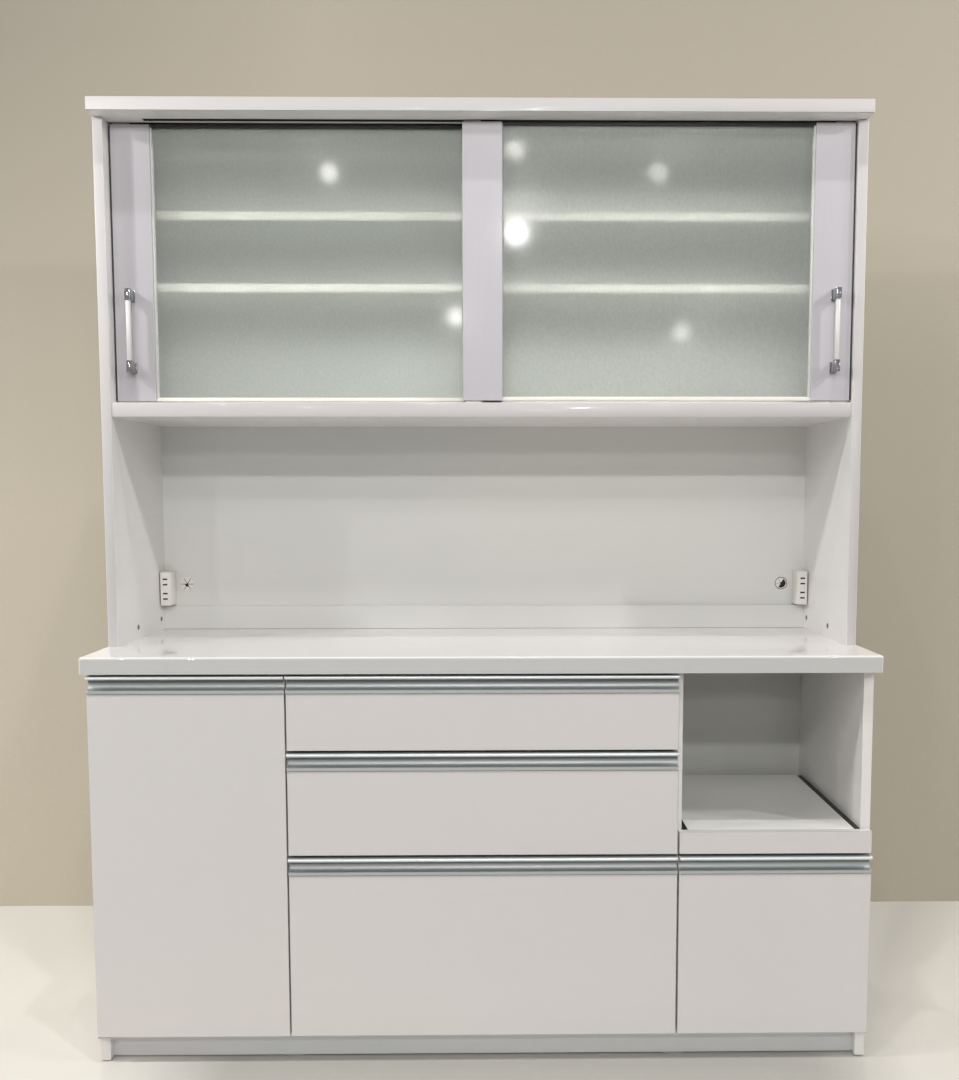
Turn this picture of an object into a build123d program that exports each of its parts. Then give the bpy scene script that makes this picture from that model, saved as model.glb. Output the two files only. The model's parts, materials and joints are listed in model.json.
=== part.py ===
from build123d import *
import os

# Two-piece kitchen cabinet: a glazed hutch with two sliding doors stands on a base with a
# hinged door, three drawers, a pull-out appliance tray and a deep drawer.
# Millimetres. X runs to the right, the front faces -Y, Z is up, and the origin is on the
# floor under the middle of the cabinet.

# How far a cutting block passes the face that it opens, and how near counts as on a face
CUT_PAST = 1.0
ON_FACE = 0.01

# Overall sizes
COUNTER_WIDTH = 1600.0
COUNTER_OVERHANG = 10.0
DEPTH = 500.0
BASE_HEIGHT = 845.0
TOTAL_HEIGHT = 1956.0

# Boards
BOARD = 18.0
SIDE_BOARD = 20.0
COUNTER_THICKNESS = 34.0
TOP_THICKNESS = 27.0
SILL_THICKNESS = 29.0
BACK_THICKNESS = 4.0
BACK_INSET = 4.0
BACK_REBATE = 6.0
BOARD_EDGE = 0.8
COUNTER_EDGE_RADIUS = 5.0
COUNTER_CORNER_RADIUS = 8.0

# Base
KICK_HEIGHT = 60.0
PAD_HEIGHT = 3.0
PAD_LENGTH = 40.0
PAD_WIDTH = 14.0
PAD_FROM_EDGE = 30.0
KICK_RECESS = 48.0
PARTITION_SPACING = 790.0
FRONT_SETBACK = 10.0
FRONT_THICKNESS = 18.0
FRONT_BEHIND = 2.0
FRONT_GAP = 3.0
FRONT_SIDE_REVEAL = 1.5
ROW_GAP = 5.0
FRONT_BOTTOM = 61.0
FRONT_TOP_GAP = 5.0
UPPER_FRONT_HEIGHT = 152.0
MIDDLE_FRONT_HEIGHT = 210.0
TOP_RAIL_DEPTH = 60.0
BASE_SHELF_HEIGHTS = (300.0, 540.0)
BASE_SHELF_SETBACK = 25.0

# Line handle on the top edge of each front
HANDLE_HEIGHT = 36.0
HANDLE_REACH = 9.0
HANDLE_LIP = 6.5
HANDLE_LIP_FLAT = 3.0
HANDLE_LOWER_LIP = 7.0
HANDLE_LOWER_REACH = 1.6
HANDLE_WALL = 1.6
HANDLE_TONGUE_WIDTH = 5.0
HANDLE_TONGUE_DEPTH = 8.0
HANDLE_CAP = 1.5
HANDLE_RECESS_DEPTH = 11.0

# Door pivots
PIVOT_PIN_RADIUS = 2.0
PIVOT_CLEARANCE = 0.05
PIVOT_FROM_EDGE = 4.5
PIVOT_FROM_FACE = 4.0
PIVOT_HOLE_DEPTH = 5.0
PIVOT_PIN_REACH = 4.5
PIVOT_PLATE = 2.5
PIVOT_GAP = 0.5
PIVOT_EAR_HEIGHT = 16.0
PIVOT_PLATE_WIDTH = 37.0

# Drawer slides, three nested members
SLIDE_SPACE = 12.7
SLIDE_HEIGHT = 42.0
SLIDE_REAR_GAP = 28.0
SLIDE_STEEL = 1.2
SLIDE_CLEARANCE = 0.4
SLIDE_SETBACK = 4.0
SLIDE_BEND = 2.2
SLIDE_TIP_GAP = 3.0

# Drawer boxes
BOX_WALL = 12.0
BOX_BOTTOM = 5.0
BOX_BOTTOM_RISE = 12.0
BOX_GROOVE = 5.0
BOX_REAR_GAP = 28.0
BOX_ABOVE_FRONT_BOTTOM = 25.0
UPPER_BOX_BELOW_FRONT = 32.0
MIDDLE_BOX_BELOW_FRONT = 35.0
LOWER_BOX_BELOW_FRONT = 88.0
SLIDE_ABOVE_BOX_BOTTOM = 45.0

# Appliance tray
TRAY_FASCIA_HEIGHT = 46.0
TRAY_BOARD = 18.0
TRAY_REAR_GAP = 24.0
TRAY_CLEAT = 15.0

# Hutch
HUTCH_SETBACK = 150.0
TOP_OVERHANG = 37.0
SILL_HEIGHT = 482.0
SILL_SETBACK = 2.0
REAR_RAIL_HEIGHT = 55.0
REAR_RAIL_THICKNESS = 14.0
HUTCH_SHELF_SETBACK = 70.0
HUTCH_SHELF_DROPS = (337.0, 188.0)
SHELF_SIDE_GAP = 1.0

# Sliding doors
DOOR_THICKNESS = 20.0
DOOR_FACE_SETBACK = 10.0
DOOR_SPACING = 24.0
DOOR_SIDE_GAP = 2.5
DOOR_OVERLAP = 82.0
STILE_WIDTH = 82.0
DOOR_RAIL = 8.0
DOOR_BEAD = 6.5
DOOR_FRAME_THICKNESS = 14.0
GLASS_THICKNESS = 4.0
GLASS_GROOVE = 4.0
GLASS_CLEARANCE = 0.2
DOOR_BOTTOM_GAP = 5.0
DOOR_TOP_GAP = 4.0
PULL_STOP_GAP = 32.5
TRACK_WIDTH = 8.0
TOP_TRACK_DEPTH = 10.0
SILL_TRACK_DEPTH = 5.0
TRACK_CLEARANCE = 0.3
GLIDE_LENGTH = 34.0
GLIDE_THICKNESS = 7.0
GLIDE_INSET = 4.0

# Sliding door handles
PULL_LENGTH = 172.0
PULL_CENTRE_HEIGHT = 147.0
PULL_FROM_EDGE = 31.0
PULL_BLOCK_WIDTH = 13.0
PULL_BLOCK_HEIGHT = 24.0
PULL_REACH = 34.0
PULL_BAR_WIDTH = 9.0
PULL_BAR_DEPTH = 14.0
PULL_EDGE = 1.0

# Shelf pins
PIN_RADIUS = 2.5
PIN_CLEARANCE = 0.05
PIN_IN_WALL = 8.1
PIN_HOLE_DEPTH = 9.0
PIN_OUT = 9.0
PIN_FROM_EDGE = 40.0

# Fittings in the open counter space
OUTLET_WIDTH = 27.0
OUTLET_HEIGHT = 80.0
OUTLET_DEPTH = 50.0
OUTLET_EDGE = 2.0
OUTLET_SIDE_GAP = 2.0
OUTLET_ABOVE_RAIL = 4.0
OUTLET_SLOT_WIDTH = 11.0
OUTLET_SLOT_HEIGHT = 2.4
OUTLET_SLOT_DEPTH = 10.0
OUTLET_SLOT_PITCH = 12.0
OUTLET_PAIR_PITCH = 34.0
GROMMET_FROM_SIDE = 53.0
GROMMET_HEIGHT = 107.0
GROMMET_HOLE_RADIUS = 15.0
GROMMET_FLANGE_RADIUS = 18.0
GROMMET_FLANGE = 1.6
GROMMET_WALL = 1.5
GROMMET_CLEARANCE = 0.1
GROMMET_SLIT = 0.8
GROMMET_SLITS = 6
CAP_RADIUS = 6.0
CAP_THICKNESS = 1.2
CAP_HEIGHT = 27.0
CAP_FROM_FRONT = 135.0
CAP_SPACING = 170.0

# Places worked out from the sizes above
FRONT = -DEPTH / 2
BACK = DEPTH / 2
SIDE_OUT = COUNTER_WIDTH / 2 - COUNTER_OVERHANG
SIDE_IN = SIDE_OUT - SIDE_BOARD
FACE = FRONT + FRONT_SETBACK
FACE_BACK = FACE + FRONT_THICKNESS
CARCASS_FRONT = FACE_BACK + FRONT_BEHIND
BACK_PANEL_REAR = BACK - BACK_INSET
BACK_PANEL_FRONT = BACK_PANEL_REAR - BACK_THICKNESS
COUNTER_UNDER = BASE_HEIGHT - COUNTER_THICKNESS
BOTTOM_TOP = KICK_HEIGHT + BOARD
PARTITION = PARTITION_SPACING / 2
PARTITION_INNER = PARTITION - BOARD / 2
PARTITION_OUTER = PARTITION + BOARD / 2

FRONT_TOP = COUNTER_UNDER - FRONT_TOP_GAP
UPPER_BOTTOM = FRONT_TOP - UPPER_FRONT_HEIGHT
MIDDLE_TOP = UPPER_BOTTOM - ROW_GAP
MIDDLE_BOTTOM = MIDDLE_TOP - MIDDLE_FRONT_HEIGHT
LOWER_TOP = MIDDLE_BOTTOM - ROW_GAP
MIDDLE_FRONT_X = PARTITION - FRONT_GAP / 2
OUTER_FRONT_IN = PARTITION + FRONT_GAP / 2
OUTER_FRONT_OUT = SIDE_OUT - FRONT_SIDE_REVEAL
TRAY_TOP = MIDDLE_BOTTOM + TRAY_FASCIA_HEIGHT
BOX_REAR = BACK_PANEL_FRONT - BOX_REAR_GAP
TRAY_REAR = BACK_PANEL_FRONT - TRAY_REAR_GAP
SLIDE_FRONT = CARCASS_FRONT + SLIDE_SETBACK
SLIDE_LENGTH = BACK_PANEL_FRONT - SLIDE_REAR_GAP - SLIDE_FRONT

HUTCH_FRONT = FRONT + HUTCH_SETBACK
SILL_UNDER = BASE_HEIGHT + SILL_HEIGHT
SILL_TOP = SILL_UNDER + SILL_THICKNESS
TOP_UNDER = TOTAL_HEIGHT - TOP_THICKNESS
SHELF_FRONT = HUTCH_FRONT + HUTCH_SHELF_SETBACK

DOOR_BOTTOM = SILL_TOP + DOOR_BOTTOM_GAP
DOOR_TOP = TOP_UNDER - DOOR_TOP_GAP
DOOR_OUT = SIDE_IN - DOOR_SIDE_GAP
DOOR_IN = -DOOR_OVERLAP / 2
DOOR_TRAVEL = DOOR_OUT - PULL_FROM_EDGE - PULL_BLOCK_WIDTH + DOOR_IN - PULL_STOP_GAP
FRONT_DOOR_FACE = HUTCH_FRONT + DOOR_FACE_SETBACK
REAR_DOOR_FACE = FRONT_DOOR_FACE + DOOR_SPACING


def block(x0, x1, y0, y1, z0, z1):
    """A box between two opposite corners."""
    size = Box(abs(x1 - x0), abs(y1 - y0), abs(z1 - z0))
    return Pos((x0 + x1) / 2, (y0 + y1) / 2, (z0 + z1) / 2) * size


def eased(part, amount=BOARD_EDGE):
    """The part with all its edges slightly chamfered, as edge banding leaves them."""
    return chamfer(part.edges(), amount)


def both_sides(part):
    """The part and its mirror image on the other side of the cabinet."""
    return [part, mirror(part, about=Plane.YZ)]


def save(node, solids):
    """Write one sub-part; several separate solids share a node."""
    solids = solids if isinstance(solids, list) else [solids]
    single = []
    for item in solids:
        single.extend(item.solids())
    shape = single[0] if len(single) == 1 else Compound(children=single)
    export_step(shape, os.path.join("parts", node + ".step"))


# Shelf pins and their holes

def pin_cylinder(radius, x, y, z, reach_in, reach_out):
    """A cylinder along X that starts reach_in inside a wall face and ends reach_out beyond it."""
    direction = 1 if reach_out > 0 else -1
    length = abs(reach_in) + abs(reach_out)
    middle = x + direction * (length / 2 - abs(reach_in))
    return Pos(middle, y, z) * Rot(0, 90, 0) * Cylinder(radius, length)


def pin_places():
    """Each shelf pin as wall face x, side it points to, y and the shelf's underside."""
    places = []
    base_y = (CARCASS_FRONT + BASE_SHELF_SETBACK + PIN_FROM_EDGE, BACK_PANEL_FRONT - PIN_FROM_EDGE)
    for height in BASE_SHELF_HEIGHTS:
        for y in base_y:
            places.append((-SIDE_IN, 1, y, height))
            places.append((-PARTITION_OUTER, -1, y, height))
    hutch_y = (SHELF_FRONT + PIN_FROM_EDGE, BACK_PANEL_FRONT - PIN_FROM_EDGE)
    for drop in HUTCH_SHELF_DROPS:
        for y in hutch_y:
            for side in (1, -1):
                places.append((side * SIDE_IN, -side, y, TOP_UNDER - drop))
                places.append((side * BOARD / 2, side, y, TOP_UNDER - drop))
    return places


def shelf_pin(place):
    """A round pin standing half in the wall, under a shelf."""
    x, direction, y, underside = place
    z = underside - PIN_RADIUS
    return pin_cylinder(PIN_RADIUS, x, y, z, PIN_IN_WALL, direction * PIN_OUT)


def drilled(board):
    """The board with the holes of the shelf pins that stand in it."""
    box = board.bounding_box()
    for x, direction, y, underside in pin_places():
        inside_x = box.min.X - ON_FACE <= x <= box.max.X + ON_FACE
        inside_z = box.min.Z < underside < box.max.Z
        if inside_x and inside_z:
            z = underside - PIN_RADIUS
            board = board - pin_cylinder(PIN_RADIUS + PIN_CLEARANCE, x, y, z,
                                         PIN_HOLE_DEPTH, direction * PIN_OUT)
    return board


# Boards of the base

def base_side(side):
    """A side board that runs to the floor, rebated for the back panel."""
    board = block(side * SIDE_IN, side * SIDE_OUT, CARCASS_FRONT, BACK, PAD_HEIGHT, COUNTER_UNDER)
    rebate = block(side * (SIDE_IN - CUT_PAST), side * (SIDE_IN + BACK_REBATE),
                   BACK_PANEL_FRONT, BACK_PANEL_REAR, KICK_HEIGHT, COUNTER_UNDER + CUT_PAST)
    return drilled(board - rebate)


def base_partitions():
    """The two upright boards between the columns."""
    boards = []
    for side in (-1, 1):
        board = block(side * PARTITION_INNER, side * PARTITION_OUTER,
                      CARCASS_FRONT, BACK_PANEL_FRONT, BOTTOM_TOP, COUNTER_UNDER)
        boards.append(drilled(board))
    return boards


def base_bottom():
    """The bottom board between the sides."""
    return block(-SIDE_IN, SIDE_IN, CARCASS_FRONT, BACK_PANEL_FRONT, KICK_HEIGHT, BOTTOM_TOP)


def base_back():
    """The thin back panel in the rebates of the sides."""
    edge = SIDE_IN + BACK_REBATE
    return block(-edge, edge, BACK_PANEL_FRONT, BACK_PANEL_REAR, KICK_HEIGHT, COUNTER_UNDER)


def base_top_rails():
    """Front and rear rails that the counter is screwed to."""
    rails = []
    low = COUNTER_UNDER - BOARD
    columns = ((-SIDE_IN, -PARTITION_OUTER), (-PARTITION_INNER, PARTITION_INNER))
    for left, right in columns:
        rails.append(block(left, right, CARCASS_FRONT, CARCASS_FRONT + TOP_RAIL_DEPTH,
                           low, COUNTER_UNDER))
        rails.append(block(left, right, BACK_PANEL_FRONT - TOP_RAIL_DEPTH, BACK_PANEL_FRONT,
                           low, COUNTER_UNDER))
    rails.append(block(PARTITION_OUTER, SIDE_IN, BACK_PANEL_FRONT - TOP_RAIL_DEPTH,
                       BACK_PANEL_FRONT, low, COUNTER_UNDER))
    return rails


def kickboard():
    """The recessed board between the feet of the sides."""
    y = FRONT + KICK_RECESS
    return block(-SIDE_IN, SIDE_IN, y, y + BOARD, PAD_HEIGHT, KICK_HEIGHT)


def floor_pads():
    """Plastic pads under the side boards and under the kickboard below each partition."""
    pads = []
    side_middle = SIDE_OUT - SIDE_BOARD / 2
    for y in (CARCASS_FRONT + PAD_FROM_EDGE, BACK - PAD_FROM_EDGE):
        pads += both_sides(block(side_middle - PAD_WIDTH / 2, side_middle + PAD_WIDTH / 2,
                                 y - PAD_LENGTH / 2, y + PAD_LENGTH / 2, 0, PAD_HEIGHT))
    kick_middle = FRONT + KICK_RECESS + BOARD / 2
    pads += both_sides(block(PARTITION - PAD_LENGTH / 2, PARTITION + PAD_LENGTH / 2,
                             kick_middle - PAD_WIDTH / 2, kick_middle + PAD_WIDTH / 2, 0, PAD_HEIGHT))
    return pads


def counter_top():
    """The counter with rounded front corners and a soft front edge."""
    half = COUNTER_WIDTH / 2
    slab = block(-half, half, FRONT, BACK, COUNTER_UNDER, BASE_HEIGHT)
    corners = slab.edges().filter_by(Axis.Z).sort_by(Axis.Y)[:2]
    slab = fillet(corners, COUNTER_CORNER_RADIUS)
    top = slab.faces().sort_by(Axis.Z)[-1]
    rim = top.edges().sort_by(Axis.Y)[:-1]
    return fillet(rim, COUNTER_EDGE_RADIUS)


def base_shelves():
    """Loose shelves behind the hinged door."""
    left = -SIDE_IN + SHELF_SIDE_GAP
    right = -PARTITION_OUTER - SHELF_SIDE_GAP
    front = CARCASS_FRONT + BASE_SHELF_SETBACK
    return [block(left, right, front, BACK_PANEL_FRONT, z, z + BOARD) for z in BASE_SHELF_HEIGHTS]


# Fronts with line handles

def recess_arc():
    """The concave finger recess: y from the front's face, z from the front's top."""
    upper = (-HANDLE_REACH + HANDLE_LIP / 2 + HANDLE_LIP_FLAT, -HANDLE_LIP)
    lower = (0, -HANDLE_HEIGHT + HANDLE_LOWER_LIP)
    return ThreePointArc(upper, (HANDLE_RECESS_DEPTH, (upper[1] + lower[1]) / 2), lower)


def handle_outline():
    """Outline of the handle extrusion, in the same y and z as the recess."""
    recess = recess_arc()
    nose = HANDLE_LIP / 2
    tip = -HANDLE_REACH
    low = -HANDLE_HEIGHT
    reach = -HANDLE_LOWER_REACH
    back = FRONT_THICKNESS
    tongue_front = (FRONT_THICKNESS - HANDLE_TONGUE_WIDTH) / 2
    tongue_back = tongue_front + HANDLE_TONGUE_WIDTH
    tongue_low = low - HANDLE_TONGUE_DEPTH
    lip = ThreePointArc((tip + nose, 0), (tip, -nose), (tip + nose, -HANDLE_LIP))
    lower_edge = Polyline(recess @ 1, (reach, (recess @ 1).Y), (reach, low), (tongue_front, low),
                          (tongue_front, tongue_low), (tongue_back, tongue_low),
                          (tongue_back, low), (back, low), (back, 0), (tip + nose, 0))
    return make_face(Curve() + [lip, Line(lip @ 1, recess @ 0), recess, lower_edge])


def handle_chamber():
    """The hollow inside the handle extrusion, one wall away from its outline."""
    wall = HANDLE_WALL
    recess = recess_arc()
    back = FRONT_THICKNESS - wall
    low = -HANDLE_HEIGHT + wall
    lip_front = -HANDLE_REACH + HANDLE_LIP / 2
    lip_low = -HANDLE_LIP + wall
    lip = Pos((lip_front + back) / 2, (lip_low - wall) / 2) * Rectangle(back - lip_front, -wall - lip_low)
    body = Pos(back / 2, (low - wall) / 2) * Rectangle(back, -wall - low)
    centre = recess.arc_center
    return lip + body - Pos(centre.X, centre.Y) * Circle(recess.radius + wall)


def line_handle(left, right, top):
    """A hollow handle extrusion with a flat cap on each end."""
    outline = Plane.YZ * handle_outline()
    chamber = Plane.YZ * handle_chamber()
    place = Pos(0, FACE, top)
    length = right - left - 2 * HANDLE_CAP
    tube = extrude(outline, amount=length) - extrude(chamber, amount=length)
    cap = extrude(outline, amount=HANDLE_CAP)
    return [Pos(left + HANDLE_CAP, 0, 0) * place * tube,
            Pos(left, 0, 0) * place * cap,
            Pos(right - HANDLE_CAP, 0, 0) * place * cap]


def front_panel(left, right, bottom, top):
    """A front board with the groove that takes the handle's tongue."""
    board = block(left, right, FACE, FACE_BACK, bottom, top - HANDLE_HEIGHT)
    board = eased(board)
    middle = FACE + FRONT_THICKNESS / 2
    half = HANDLE_TONGUE_WIDTH / 2
    groove = block(left - CUT_PAST, right + CUT_PAST, middle - half, middle + half,
                   top - HANDLE_HEIGHT - HANDLE_TONGUE_DEPTH, top)
    return board - groove


# Hinged door with its pivots

def pivot_axis():
    """X and Y of the hinged door's axis, inside its outer edge."""
    return -OUTER_FRONT_OUT + PIVOT_FROM_EDGE, FACE + PIVOT_FROM_FACE


def pivot_hole(face, direction):
    """The running hole for a pivot pin, which goes up or down from a face."""
    x, y = pivot_axis()
    low, high = sorted((face - direction * CUT_PAST, face + direction * PIVOT_HOLE_DEPTH))
    return Pos(x, y, (low + high) / 2) * Cylinder(PIVOT_PIN_RADIUS + PIVOT_CLEARANCE, high - low)


def door_panel():
    """The hinged door's board, bored below for the lower pivot pin."""
    board = front_panel(-OUTER_FRONT_OUT, -OUTER_FRONT_IN, FRONT_BOTTOM, FRONT_TOP)
    return board - pivot_hole(FRONT_BOTTOM, 1)


def door_handle():
    """The hinged door's line handle, bored above for the upper pivot pin."""
    pieces = line_handle(-OUTER_FRONT_OUT, -OUTER_FRONT_IN, FRONT_TOP)
    pieces[0] = pieces[0] - pivot_hole(FRONT_TOP, -1)
    return pieces


def door_pivots():
    """Fixed plates with pins above and below the hinged door."""
    x, y = pivot_axis()
    left = -SIDE_OUT + BOARD_EDGE
    right = left + PIVOT_PLATE_WIDTH
    front = FACE + BOARD_EDGE
    upper_low = COUNTER_UNDER - PIVOT_PLATE
    upper_length = upper_low - FRONT_TOP + PIVOT_PIN_REACH
    upper_plate = block(left, right, front, CARCASS_FRONT, upper_low, COUNTER_UNDER)
    upper_pin = Pos(x, y, upper_low - upper_length / 2) * Cylinder(PIVOT_PIN_RADIUS, upper_length)
    lower_top = FRONT_BOTTOM - PIVOT_GAP
    lower_low = lower_top - PIVOT_PLATE
    lower_length = PIVOT_GAP + PIVOT_PIN_REACH
    lower_plate = block(left, right, front, CARCASS_FRONT, lower_low, lower_top)
    ear_front = CARCASS_FRONT - FRONT_BEHIND / 2
    lower_ear = block(left, right, ear_front, CARCASS_FRONT, lower_top, lower_top + PIVOT_EAR_HEIGHT)
    lower_pin = Pos(x, y, lower_top + lower_length / 2) * Cylinder(PIVOT_PIN_RADIUS, lower_length)
    return [upper_plate + upper_pin, lower_plate + lower_ear + lower_pin]


# Drawers

def slide_profile(outer_height, web_x, tip_x):
    """Outline of a C-shaped slide member across X and Z, with rounded bends at its web."""
    steel = SLIDE_STEEL if tip_x > web_x else -SLIDE_STEEL
    reach = tip_x - web_x
    shell = Pos(web_x + reach / 2, 0) * Rectangle(abs(reach), outer_height)
    shell = fillet(shell.vertices().sort_by_distance((web_x, 0))[:2], SLIDE_BEND)
    hollow = Pos(web_x + steel + reach / 2, 0) * Rectangle(abs(reach), outer_height - 2 * SLIDE_STEEL)
    hollow = fillet(hollow.vertices().sort_by_distance((web_x, 0))[:2], SLIDE_BEND - SLIDE_STEEL)
    return shell - hollow


def slide_member(profile, wall_x, direction, z):
    """A slide member of full length beside a wall face, opening away from that wall."""
    solid = extrude(Plane.XZ * profile, amount=-SLIDE_LENGTH)
    if direction < 0:
        solid = mirror(solid, about=Plane.YZ)
    return Pos(wall_x, SLIDE_FRONT, z) * solid


def outer_profile():
    """The member screwed to the wall, its web on the wall."""
    return slide_profile(SLIDE_HEIGHT, 0, SLIDE_SPACE - SLIDE_TIP_GAP)


def middle_profile():
    """The member that runs inside the outer one."""
    inset = SLIDE_STEEL + SLIDE_CLEARANCE
    return slide_profile(SLIDE_HEIGHT - 2 * inset, inset, SLIDE_SPACE - inset)


def inner_profile():
    """The member on the drawer, which faces the other way inside the middle one."""
    inset = 2 * (SLIDE_STEEL + SLIDE_CLEARANCE)
    return slide_profile(SLIDE_HEIGHT - 2 * inset, SLIDE_SPACE, inset + SLIDE_STEEL)


def slide_pair(profile, left_wall, right_wall, z):
    """The same member on both walls of a column."""
    return [slide_member(profile, left_wall, 1, z), slide_member(profile, right_wall, -1, z)]


def drawer_box(left_wall, right_wall, bottom, top):
    """Four walls and a bottom let into their grooves."""
    left = left_wall + SLIDE_SPACE
    right = right_wall - SLIDE_SPACE
    y0 = FACE_BACK
    y1 = BOX_REAR
    floor = block(left + BOX_WALL - BOX_GROOVE, right - BOX_WALL + BOX_GROOVE,
                  y0 + BOX_WALL - BOX_GROOVE, y1 - BOX_WALL + BOX_GROOVE,
                  bottom + BOX_BOTTOM_RISE, bottom + BOX_BOTTOM_RISE + BOX_BOTTOM)
    walls = [block(left, left + BOX_WALL, y0, y1, bottom, top),
             block(right - BOX_WALL, right, y0, y1, bottom, top),
             block(left + BOX_WALL, right - BOX_WALL, y0, y0 + BOX_WALL, bottom, top),
             block(left + BOX_WALL, right - BOX_WALL, y1 - BOX_WALL, y1, bottom, top)]
    return [wall - floor for wall in walls] + [floor]


# Each drawer's front from left to right, its column's walls, its front from bottom to top and
# how far the box stays below the front
DRAWERS = {
    "upper_drawer": (-MIDDLE_FRONT_X, MIDDLE_FRONT_X, -PARTITION_INNER, PARTITION_INNER,
                     UPPER_BOTTOM, FRONT_TOP, UPPER_BOX_BELOW_FRONT),
    "middle_drawer": (-MIDDLE_FRONT_X, MIDDLE_FRONT_X, -PARTITION_INNER, PARTITION_INNER,
                      MIDDLE_BOTTOM, MIDDLE_TOP, MIDDLE_BOX_BELOW_FRONT),
    "lower_drawer": (-MIDDLE_FRONT_X, MIDDLE_FRONT_X, -PARTITION_INNER, PARTITION_INNER,
                     FRONT_BOTTOM, LOWER_TOP, LOWER_BOX_BELOW_FRONT),
    "deep_drawer": (OUTER_FRONT_IN, OUTER_FRONT_OUT, PARTITION_OUTER, SIDE_IN,
                    FRONT_BOTTOM, LOWER_TOP, LOWER_BOX_BELOW_FRONT),
}


def slide_height(front_bottom):
    """Middle height of a drawer's slides."""
    return front_bottom + BOX_ABOVE_FRONT_BOTTOM + SLIDE_ABOVE_BOX_BOTTOM


def tray_slide_height():
    return TRAY_TOP - SLIDE_HEIGHT / 2


def save_drawers():
    """Every drawer's front, handle, box and moving slide members."""
    outers = []
    for name, (left, right, left_wall, right_wall, bottom, top, drop) in DRAWERS.items():
        z = slide_height(bottom)
        save(name + "_front", front_panel(left, right, bottom, top))
        save(name + "_handle", line_handle(left, right, top))
        save(name + "_box", drawer_box(left_wall, right_wall, bottom + BOX_ABOVE_FRONT_BOTTOM, top - drop))
        save(name + "_slide_inner", slide_pair(inner_profile(), left_wall, right_wall, z))
        save(name + "_slide_middle", slide_pair(middle_profile(), left_wall, right_wall, z))
        outers.extend(slide_pair(outer_profile(), left_wall, right_wall, z))
    return outers


def tray_board():
    """The tray's board with a cleat under each long edge for the slides."""
    left = PARTITION_OUTER + SLIDE_SPACE
    right = SIDE_IN - SLIDE_SPACE
    y0 = FACE_BACK
    y1 = TRAY_REAR
    low = TRAY_TOP - TRAY_BOARD
    cleat_low = TRAY_TOP - SLIDE_HEIGHT
    return [block(left, right, y0, y1, low, TRAY_TOP),
            block(left, left + TRAY_CLEAT, y0, y1, cleat_low, low),
            block(right - TRAY_CLEAT, right, y0, y1, cleat_low, low)]


def tray_fascia():
    """The tray's front board."""
    return eased(block(OUTER_FRONT_IN, OUTER_FRONT_OUT, FACE, FACE_BACK, MIDDLE_BOTTOM, TRAY_TOP))


def save_tray():
    """The appliance tray and its slides."""
    z = tray_slide_height()
    save("tray_board", tray_board())
    save("tray_fascia", tray_fascia())
    save("tray_slide_inner", slide_pair(inner_profile(), PARTITION_OUTER, SIDE_IN, z))
    save("tray_slide_middle", slide_pair(middle_profile(), PARTITION_OUTER, SIDE_IN, z))
    return slide_pair(outer_profile(), PARTITION_OUTER, SIDE_IN, z)


# Hutch

def hutch_side(side):
    """A hutch side board, rebated for the back panel."""
    board = block(side * SIDE_IN, side * SIDE_OUT, HUTCH_FRONT, BACK, BASE_HEIGHT, TOP_UNDER)
    rebate = block(side * (SIDE_IN - CUT_PAST), side * (SIDE_IN + BACK_REBATE),
                   BACK_PANEL_FRONT, BACK_PANEL_REAR, BASE_HEIGHT - CUT_PAST, TOP_UNDER + CUT_PAST)
    return drilled(board - rebate)


def track_middle(face):
    return face + DOOR_THICKNESS / 2


def track_groove(face, side, bottom, top):
    """A stopped groove for the door whose closed place is on the given side."""
    y = track_middle(face)
    near = side * DOOR_OUT
    far = side * (DOOR_IN - DOOR_TRAVEL - DOOR_SIDE_GAP)
    return block(near, far, y - TRACK_WIDTH / 2, y + TRACK_WIDTH / 2, bottom, top)


def hutch_top():
    """The top board with both stopped grooves in its underside."""
    board = eased(block(-SIDE_OUT, SIDE_OUT, HUTCH_FRONT - TOP_OVERHANG, BACK, TOP_UNDER, TOTAL_HEIGHT))
    for face, side in ((FRONT_DOOR_FACE, 1), (REAR_DOOR_FACE, -1)):
        board = board - track_groove(face, side, TOP_UNDER - CUT_PAST, TOP_UNDER + TOP_TRACK_DEPTH)
    return board


def hutch_sill():
    """The board under the sliding doors, with both stopped grooves in its top."""
    board = block(-SIDE_IN, SIDE_IN, HUTCH_FRONT + SILL_SETBACK, BACK_PANEL_FRONT, SILL_UNDER, SILL_TOP)
    for face, side in ((FRONT_DOOR_FACE, 1), (REAR_DOOR_FACE, -1)):
        board = board - track_groove(face, side, SILL_TOP - SILL_TRACK_DEPTH, SILL_TOP + CUT_PAST)
    return board


def hutch_partition():
    """The upright board between the two pairs of shelves."""
    board = block(-BOARD / 2, BOARD / 2, SHELF_FRONT, BACK_PANEL_FRONT, SILL_TOP, TOP_UNDER)
    return drilled(board)


def hutch_shelves():
    """Four shelves on pins, two on each side of the partition."""
    inner = BOARD / 2 + SHELF_SIDE_GAP
    outer = SIDE_IN - SHELF_SIDE_GAP
    shelves = []
    for drop in HUTCH_SHELF_DROPS:
        z = TOP_UNDER - drop
        shelves += both_sides(block(inner, outer, SHELF_FRONT, BACK_PANEL_FRONT, z, z + BOARD))
    return shelves


def grommet_places():
    x = SIDE_IN - GROMMET_FROM_SIDE
    z = BASE_HEIGHT + GROMMET_HEIGHT
    return ((-x, z), (x, z))


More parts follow.
